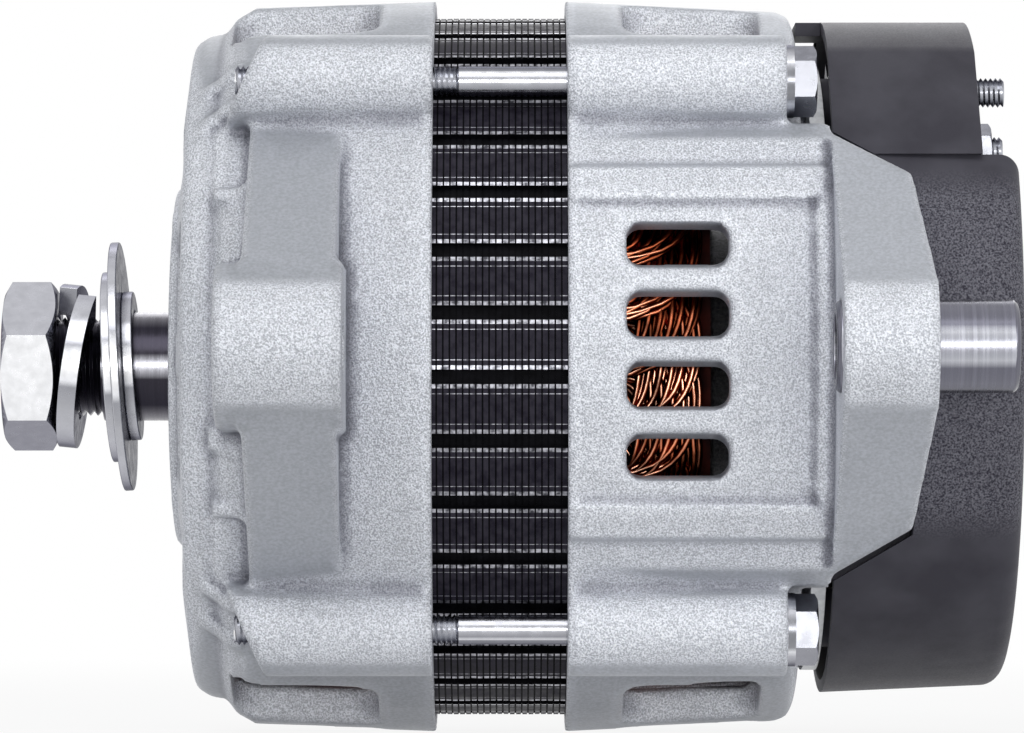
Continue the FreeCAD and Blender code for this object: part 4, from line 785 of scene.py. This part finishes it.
# Painted reflections for the zinc parts: bright stops are painted highlight, dark stops painted shade
zinc = plated_zinc("bright_zinc", [
    (0.0, (1.0, 1.0, 1.0)), (0.028, (0.92, 0.93, 0.97)), (0.045, (0.36, 0.365, 0.40)),
    (0.14, (0.48, 0.485, 0.52)), (0.36, (0.54, 0.545, 0.59)), (0.68, (0.46, 0.46, 0.51)),
    (1.0, (0.12, 0.12, 0.15))])
zinc_head = plated_zinc("zinc_head", [
    (0.0, (0.26, 0.265, 0.29)), (0.13, (0.31, 0.315, 0.34)), (0.21, (0.78, 0.79, 0.83)),
    (0.32, (0.50, 0.505, 0.55)), (0.55, (0.36, 0.365, 0.40)), (1.0, (0.10, 0.10, 0.12))])
zinc_rod = plated_zinc("zinc_rod", [
    (0.0, (0.95, 0.95, 1.0)), (0.006, (0.50, 0.51, 0.55)), (0.05, (0.42, 0.425, 0.46)),
    (0.12, (0.34, 0.345, 0.38)), (0.24, (0.75, 0.755, 0.80)), (0.32, (0.26, 0.265, 0.30)),
    (1.0, (0.20, 0.20, 0.23))])
zinc_thread = plated_zinc("zinc_thread", [
    (0.0, (1.0, 1.0, 1.0)), (0.25, (0.75, 0.76, 0.80)), (0.45, (0.42, 0.43, 0.47)),
    (1.0, (0.12, 0.12, 0.15))])
shaft_steel = steel_with_painted_band("ground_shaft", [
    (0.0, (0.55, 0.55, 0.60)), (0.008, (0.40, 0.40, 0.44)), (0.03, (0.045, 0.042, 0.055)),
    (0.30, (0.030, 0.028, 0.040)), (0.55, (0.16, 0.155, 0.18)), (1.0, (0.24, 0.235, 0.265))], 0.002)
pressed_steel = turned_steel("pressed_steel", (0.40, 0.40, 0.42), (0.58, 0.58, 0.60), 0.25, 0.40)


# Shaft, nut and loose washers
# A ground steel shaft with an M20 fine thread. The zinc plated nut sits on the thread's end, and
# the split lock washer and three flat rings hang loose on the bare pulley seat.

THREAD_DEPTH_SHARE = 0.61
THREAD_MERGE = 0.004 * MM


def thread(work, start, end, out, up, radius, pitch, chamfer, sides):
    # A screw thread between two places along X, closed at both ends. Its tip is chamfered at the
    # start, or at the end where the chamfer is given below zero.
    depth = THREAD_DEPTH_SHARE * pitch
    made = bmesh.new()
    turns = int((end - start) / pitch) + 3
    previous = None
    first = start - 2 * pitch
    for step in range(2 * turns + 1):
        x = first + step * pitch / 2
        crest = radius if step % 2 else radius - depth
        limit = radius - chamfer + max(0.0, x - start) if chamfer else radius
        if chamfer < 0:
            limit = radius + chamfer + max(0.0, end - x)
        vert = made.verts.new((x, 0.0, min(crest, max(limit, radius - depth))))
        if previous is not None:
            made.edges.new((previous, vert))
        previous = vert
    geometry = made.verts[:] + made.edges[:]
    bmesh.ops.spin(made, geom=geometry, cent=(0, 0, 0), axis=(1, 0, 0), dvec=(pitch / sides, 0, 0),
                   angle=math.tau, steps=sides, use_merge=False)
    bmesh.ops.remove_doubles(made, verts=made.verts, dist=THREAD_MERGE)
    for x, keep_above in ((start, True), (end, False)):
        cut_away(made, x, keep_above)
    bmesh.ops.recalc_face_normals(made, faces=made.faces)
    bmesh.ops.translate(made, verts=made.verts, vec=(0, -out, up))
    mesh = bpy.data.meshes.new("thread")
    made.to_mesh(mesh)
    made.free()
    work.from_mesh(mesh)
    bpy.data.meshes.remove(mesh)


SHAFT_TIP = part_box("rotor_shaft")[0].x
SHAFT_THREAD_END = -15.9 * MM
SHAFT_THREAD_RADIUS = 10.0 * MM
SHAFT_PITCH = 1.5 * MM
SHAFT_CHAMFER = 1.2 * MM
SHAFT_THREAD_SIDES = 64
THREAD_OVERLAP = 0.2 * MM

shaft_work = cad_copy("rotor_shaft")
cut_away(shaft_work, SHAFT_THREAD_END - THREAD_OVERLAP, True)
thread(shaft_work, SHAFT_TIP, SHAFT_THREAD_END, 0, 0, SHAFT_THREAD_RADIUS, SHAFT_PITCH, SHAFT_CHAMFER,
       SHAFT_THREAD_SIDES)
dress(edged_copy("rotor_shaft", "shaft", "rotor", 0.2, shaft_work), shaft_steel)
dress(edged_copy("shaft_spacer", "spacer", "rotor", 0.3), shaft_steel)
for node, edge in (("pulley_nut", 0.35), ("lock_washer", 0.95), ("flat_washer", 0.3),
                   ("large_washer", 0.3), ("collar_ring", 0.3)):
    dress(edged_copy(node, node + "_finished", "rotor", edge), zinc)


# Through bolts
# Four long steel bolts with flanged hexagon heads, zinc plated, that clamp both castings to the
# stator. Their threads show in front of the stator and at the drive end bosses.

BOLT_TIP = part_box("through_bolts")[0].x
BOLT_CIRCLE = 75.0 * MM
BOLT_THREAD_END = 56.4 * MM
BOLT_HEAD_START = 110.0 * MM
SMALL_THREAD_RADIUS = 3.0 * MM
SMALL_PITCH = 1.0 * MM
BOLT_CHAMFER = 0.5 * MM
BOLT_THREAD_SIDES = 20
HEAD, ROD, THREAD = 0, 1, 2
bolt_reach = BOLT_CIRCLE * math.sqrt(0.5)
bolt_work = cad_copy("through_bolts")
cut_away(bolt_work, BOLT_THREAD_END, True)
for out in (-bolt_reach, bolt_reach):
    for up in (-bolt_reach, bolt_reach):
        thread(bolt_work, BOLT_TIP, BOLT_THREAD_END, out, up, SMALL_THREAD_RADIUS, SMALL_PITCH,
               BOLT_CHAMFER, BOLT_THREAD_SIDES)
for face in bolt_work.faces:
    along = face.calc_center_median().x
    if along < BOLT_THREAD_END - 0.05 * MM:
        face.material_index = THREAD
    elif along < BOLT_HEAD_START:
        face.material_index = ROD
    else:
        face.material_index = HEAD
bolts = edged_copy("through_bolts", "long_bolts", "housing", 0.25, bolt_work)
dress(bolts, zinc_head)
bolts.data.materials.append(zinc_rod)
bolts.data.materials.append(zinc_thread)


# Terminals
# The output stud and the smaller field stud are zinc plated screws that stand in the recess of
# the cover, the second with its washer and nut.

OUTPUT_UP = 55.7 * MM
SECOND_OUT = -14.5 * MM
SECOND_UP = 44.9 * MM
TERMINAL_FACE = 157.9 * MM
STUD_CHAMFER = 0.7 * MM
STUD_THREAD_SIDES = 28

for node, out, up in (("output_stud", 0.0, OUTPUT_UP), ("second_stud", SECOND_OUT, SECOND_UP)):
    stud_work = cad_copy(node)
    cut_away(stud_work, TERMINAL_FACE - THREAD_OVERLAP, False)
    thread(stud_work, TERMINAL_FACE - 2 * THREAD_OVERLAP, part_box(node)[1].x, out, up,
           SMALL_THREAD_RADIUS, SMALL_PITCH, -STUD_CHAMFER, STUD_THREAD_SIDES)
    dress(edged_copy(node, node + "_threaded", "housing", 0.12, stud_work), zinc_thread)
for node in ("second_stud_washer", "second_stud_nut"):
    dress(edged_copy(node, node + "_finished", "housing", 0.25), zinc_head)


# Pivot bush
# A turned steel sleeve that slides in the rear ear and takes up the bracket's width.

bush_low, bush_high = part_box("pivot_bush")
bush_centre = (0.0, (bush_low.y + bush_high.y) / 2, 0.0)
bush_steel = steel_with_painted_band("turned_bush", [
    (0.0, (0.36, 0.36, 0.41)), (0.02, (0.44, 0.45, 0.50)), (0.05, (0.56, 0.57, 0.62)),
    (0.12, (0.18, 0.18, 0.22)), (0.40, (0.20, 0.20, 0.24)), (0.8, (0.12, 0.12, 0.15))], 0.002, bush_centre)
dress(edged_copy("pivot_bush", "pivot_sleeve", "bush", 0.3), bush_steel)


# Rear cover
# A moulded black plastic cap. Its sides have a fine grained skin, and its underside and the raised
# part with the recess for the terminals are smooth. Slots in its end let the cooling air in.

SMOOTH_START = 28.0 * MM
SMOOTH_END = 37.0 * MM


def moulded_black():
    # Grained and lighter near the shaft's height, smooth and darker far above and below it
    material = start_material("moulded_black", metallic=0.0, roughness=0.5, specular=0.15)
    tree = material.node_tree
    grain = add_grain(material, scale=2600.0, depth=0.09, detail=2.0)
    cloud = add_grain(material, scale=90.0, depth=0.0)
    grained_skin = ramp_of(tree, grain.outputs["Mask"],
                           [(MASK_LOW, (0.028, 0.026, 0.040)), (MASK_HIGH, (0.196, 0.194, 0.224))])
    smooth_skin = ramp_of(tree, cloud.outputs["Mask"],
                          [(MASK_LOW, (0.049, 0.047, 0.060)), (MASK_HIGH, (0.075, 0.073, 0.089))])
    start = add_node(tree, "ShaderNodeTexCoord")
    split = add_node(tree, "ShaderNodeSeparateXYZ")
    away = add_node(tree, "ShaderNodeMath", operation="ABSOLUTE")
    smooth = add_node(tree, "ShaderNodeMapRange", interpolation_type="SMOOTHSTEP")
    smooth.inputs["From Min"].default_value = SMOOTH_START
    smooth.inputs["From Max"].default_value = SMOOTH_END
    tree.links.new(start.outputs["Object"], split.inputs["Vector"])
    tree.links.new(split.outputs["Z"], away.inputs[0])
    tree.links.new(away.outputs["Value"], smooth.inputs["Value"])
    share = smooth.outputs["Result"]
    shade_input(material, "Base Color", mix(tree, "RGBA", share, grained_skin, smooth_skin))
    vary_roughness(material, grain.outputs["Mask"], 0.42, 0.56)
    normal = mix(tree, "VECTOR", share, grain.outputs["Normal"], cloud.outputs["Normal"])
    shade_input(material, "Normal", normal)
    return material


dress(edged_copy("rear_cover", "end_cover", "housing", 0.7), moulded_black())
dress(edged_copy("cover_screws", "cover_screw_set", "housing", 0.25), zinc)


# Rotor
# Two forged poles whose fingers mesh around the field coil, with a pressed fan on each face.

forged_iron = grained("forged_iron", (0.10, 0.095, 0.09), (0.24, 0.23, 0.22), 0.8, 0.35, 0.55, 300.0, 0.05)
moulded_brown = grained("moulded_brown", (0.03, 0.022, 0.018), (0.075, 0.055, 0.045), 0.0, 0.4, 0.55,
                        700.0, 0.03)
ring_copper = turned_steel("ring_copper", (0.55, 0.22, 0.10), (0.80, 0.42, 0.24), 0.18, 0.30)
for node, edge, material, slot in (
        ("front_claw_pole", 0.4, forged_iron, "pole_iron"),
        ("rear_claw_pole", 0.4, forged_iron, "pole_iron"),
        ("field_core", 0.2, forged_iron, "pole_iron"),
        ("coil_bobbin", 0.2, moulded_brown, "dark_plastic"),
        ("field_coil", 0.2, copper, "copper_wire"),
        ("front_fan", 0.25, pressed_steel, "fan_steel"),
        ("rear_fan", 0.25, pressed_steel, "fan_steel"),
        ("slip_ring_sleeve", 0.2, moulded_brown, "dark_plastic"),
        ("inner_slip_ring", 0.2, ring_copper, "ring_copper"),
        ("outer_slip_ring", 0.2, ring_copper, "ring_copper")):
    dress(edged_copy(node, node + "_finished", "rotor", edge), material)


# Bearings
# Two deep groove ball bearings of ground steel with brass cages and rubber lipped seals.

bearing_steel = turned_steel("bearing_steel", (0.55, 0.55, 0.57), (0.72, 0.72, 0.74), 0.10, 0.22)
cage_brass = turned_steel("cage_brass", (0.50, 0.34, 0.12), (0.72, 0.54, 0.24), 0.22, 0.36)
seal_rubber = grained("seal_rubber", (0.010, 0.010, 0.011), (0.03, 0.03, 0.032), 0.0, 0.5, 0.7, 900.0, 0.03)
for side in ("front", "rear"):
    for part, body, material, slot in (
            ("outer_ring", "housing", bearing_steel, "bearing_steel"),
            ("inner_ring", "rotor", bearing_steel, "bearing_steel"),
            ("balls", side + "_balls", bearing_steel, "bearing_steel"),
            ("cage", side + "_balls", cage_brass, "cage_brass"),
            ("seals", "housing", seal_rubber, "seal_rubber")):
        node = side + "_bearing_" + part
        edge = 0 if part == "balls" else 0.15
        dress(edged_copy(node, node + "_finished", body, edge), material)
dress(edged_copy("bearing_retainer", "retainer_plate", "housing", 0.3), pressed_steel)
dress(edged_copy("retainer_screws", "retainer_screw_set", "housing", 0.25), zinc)


# Brush gear, regulator and rectifier
# Two carbon brushes in a moulded holder, the sealed regulator behind it, and two aluminium plates
# with pressed diodes under a moulded terminal board.

carbon = grained("pressed_carbon", (0.015, 0.014, 0.014), (0.05, 0.045, 0.04), 0.2, 0.35, 0.6, 1200.0, 0.03)
spring_wire = turned_steel("spring_wire", (0.30, 0.30, 0.31), (0.50, 0.50, 0.52), 0.2, 0.35)
sink_metal = grained("heat_sink_metal", (0.42, 0.43, 0.45), (0.60, 0.61, 0.63), 0.9, 0.35, 0.5, 500.0, 0.03)
diode_metal = grained("diode_metal", (0.45, 0.42, 0.35), (0.62, 0.60, 0.54), 1.0, 0.25, 0.4, 500.0, 0.02)
wedge_strip = grained("wedge_strip", (0.50, 0.44, 0.33), (0.70, 0.64, 0.52), 0.0, 0.5, 0.65, 600.0, 0.03)
for node, body, edge, material, slot in (
        ("inner_brush", "inner_brush_set", 0.2, carbon, "carbon"),
        ("outer_brush", "outer_brush_set", 0.2, carbon, "carbon"),
        ("brush_holder", "housing", 0.3, moulded_brown, "dark_plastic"),
        ("holder_screws", "housing", 0.2, zinc, "bright_zinc"),
        ("voltage_regulator", "housing", 0.3, sink_metal, "heat_sink"),
        ("negative_plate", "housing", 0.3, sink_metal, "heat_sink"),
        ("positive_plate", "housing", 0.3, sink_metal, "heat_sink"),
        ("negative_diodes", "housing", 0.2, diode_metal, "diode_case"),
        ("positive_diodes", "housing", 0.2, diode_metal, "diode_case"),
        ("terminal_board", "housing", 0.3, moulded_brown, "dark_plastic"),
        ("slot_wedges", "housing", 0.0, wedge_strip, "slot_plastic")):
    dress(edged_copy(node, node + "_finished", body, edge), material)

for side in ("inner", "outer"):
    spring = edged_copy(side + "_brush_spring", side + "_brush_spring_finished", "housing", 0.1)
    dress(spring, spring_wire)
    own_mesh(spring)


# Studio
# A pale floor under the object, a white surround, and soft light from above, in front, the
# terminal end and behind.

FLOOR_SIZE = 12.0
FLOOR_DROP = 0.2 * MM
FLOOR_GREY = 0.85
NEAR_GLOW = 0.90
NEAR_REACH = 0.15
FAR_REACH = 1.4
AMBIENT_STRENGTH = 0.30
AMBIENT_COLOUR = (0.95, 0.97, 1.0, 1.0)
WHITE = (1.0, 1.0, 1.0, 1.0)
LAMP_TARGET = (60.0 * MM, 0, 0)

floor_work = bmesh.new()
bmesh.ops.create_grid(floor_work, x_segments=1, y_segments=1, size=FLOOR_SIZE / 2)
bmesh.ops.translate(floor_work, verts=floor_work.verts, vec=(0, 0, cad_low.z - FLOOR_DROP))
floor_mesh = bpy.data.meshes.new("floor")
floor_work.to_mesh(floor_mesh)
floor_work.free()
floor = bpy.data.objects.new("floor", floor_mesh)
scene.collection.objects.link(floor)


def seen_directly(tree):
    # One where the camera or a mirror like surface looks straight at it, else nothing
    path = add_node(tree, "ShaderNodeLightPath")
    total = path.outputs["Is Camera Ray"]
    for name in ("Is Glossy Ray", "Is Transmission Ray"):
        adder = add_node(tree, "ShaderNodeMath", operation="ADD", use_clamp=True)
        tree.links.new(total, adder.inputs[0])
        tree.links.new(path.outputs[name], adder.inputs[1])
        total = adder.outputs[0]
    return total


floor_material = bpy.data.materials.new("pale_floor")
floor_material.use_nodes = True
floor_tree = floor_material.node_tree
floor_tree.nodes.clear()
paint = add_node(floor_tree, "ShaderNodeBsdfDiffuse")
paint.inputs["Color"].default_value = (FLOOR_GREY, FLOOR_GREY, FLOOR_GREY, 1.0)
glow = add_node(floor_tree, "ShaderNodeEmission")
glow.inputs["Color"].default_value = WHITE
share = add_node(floor_tree, "ShaderNodeMath", operation="MULTIPLY")
floor_place = add_node(floor_tree, "ShaderNodeTexCoord")
away = add_node(floor_tree, "ShaderNodeVectorMath", operation="LENGTH")
whiten = add_node(floor_tree, "ShaderNodeMapRange", interpolation_type="SMOOTHSTEP")
whiten.inputs["From Min"].default_value = NEAR_REACH
whiten.inputs["From Max"].default_value = FAR_REACH
whiten.inputs["To Min"].default_value = NEAR_GLOW
whiten.inputs["To Max"].default_value = 1.0
floor_tree.links.new(floor_place.outputs["Object"], away.inputs[0])
floor_tree.links.new(away.outputs["Value"], whiten.inputs["Value"])
floor_tree.links.new(whiten.outputs["Result"], share.inputs[1])
mixed = add_node(floor_tree, "ShaderNodeMixShader")
leave = add_node(floor_tree, "ShaderNodeOutputMaterial")
floor_tree.links.new(seen_directly(floor_tree), share.inputs[0])
floor_tree.links.new(share.outputs[0], mixed.inputs["Fac"])
floor_tree.links.new(paint.outputs["BSDF"], mixed.inputs[1])
floor_tree.links.new(glow.outputs["Emission"], mixed.inputs[2])
floor_tree.links.new(mixed.outputs["Shader"], leave.inputs["Surface"])
floor.data.materials.append(floor_material)

world = bpy.data.worlds.new("studio")
scene.world = world
world.use_nodes = True
world_tree = world.node_tree
world_tree.nodes.clear()
ambient = add_node(world_tree, "ShaderNodeBackground")
ambient.inputs["Strength"].default_value = AMBIENT_STRENGTH
ambient.inputs["Color"].default_value = AMBIENT_COLOUR
surround = add_node(world_tree, "ShaderNodeBackground")
surround.inputs["Color"].default_value = WHITE
surround.inputs["Strength"].default_value = 1.0
world_mix = add_node(world_tree, "ShaderNodeMixShader")
world_out = add_node(world_tree, "ShaderNodeOutputWorld")
world_tree.links.new(seen_directly(world_tree), world_mix.inputs["Fac"])
world_tree.links.new(ambient.outputs["Background"], world_mix.inputs[1])
world_tree.links.new(surround.outputs["Background"], world_mix.inputs[2])
world_tree.links.new(world_mix.outputs["Shader"], world_out.inputs["Surface"])


def soft_light(name, location, size, power):
    # A square lamp that points at the object's middle
    light = bpy.data.lights.new(name, "AREA")
    light.shape = "SQUARE"
    light.size = size
    light.energy = power
    lamp = bpy.data.objects.new(name, light)
    scene.collection.objects.link(lamp)
    lamp.location = location
    lamp.rotation_mode = "QUATERNION"
    lamp.rotation_quaternion = (Vector(LAMP_TARGET) - Vector(location)).to_track_quat("-Z", "Y")
    lamp.visible_camera = False


soft_light("key_softbox", (-0.3, -1.1, 1.3), 1.0, 8.5)
soft_light("front_softbox", (0.25, -1.7, -0.25), 0.9, 18.0)
soft_light("fill_softbox", (1.2, -0.9, 0.5), 0.9, 3.5)
soft_light("back_softbox", (0.1, 1.4, 0.9), 1.0, 5.0)

# Camera
# It looks square at the side with the ears, a little from below the shaft's height.

CAMERA_DISTANCE = 1.112
CAMERA_DROP = math.radians(2.4)
CAMERA_X = 66.7 * MM
CAMERA_LENS = 192.55
camera_data = bpy.data.cameras.new("camera")
camera_data.sensor_width = 36.0
camera_data.lens = CAMERA_LENS
camera = bpy.data.objects.new("camera", camera_data)
scene.collection.objects.link(camera)
camera.location = (CAMERA_X, -CAMERA_DISTANCE * math.cos(CAMERA_DROP),
                   -CAMERA_DISTANCE * math.sin(CAMERA_DROP))
camera.rotation_mode = "QUATERNION"
camera.rotation_quaternion = (Vector((CAMERA_X, 0, 0)) - camera.location).to_track_quat("-Z", "Y")
scene.camera = camera
scene.view_settings.view_transform = "Standard"
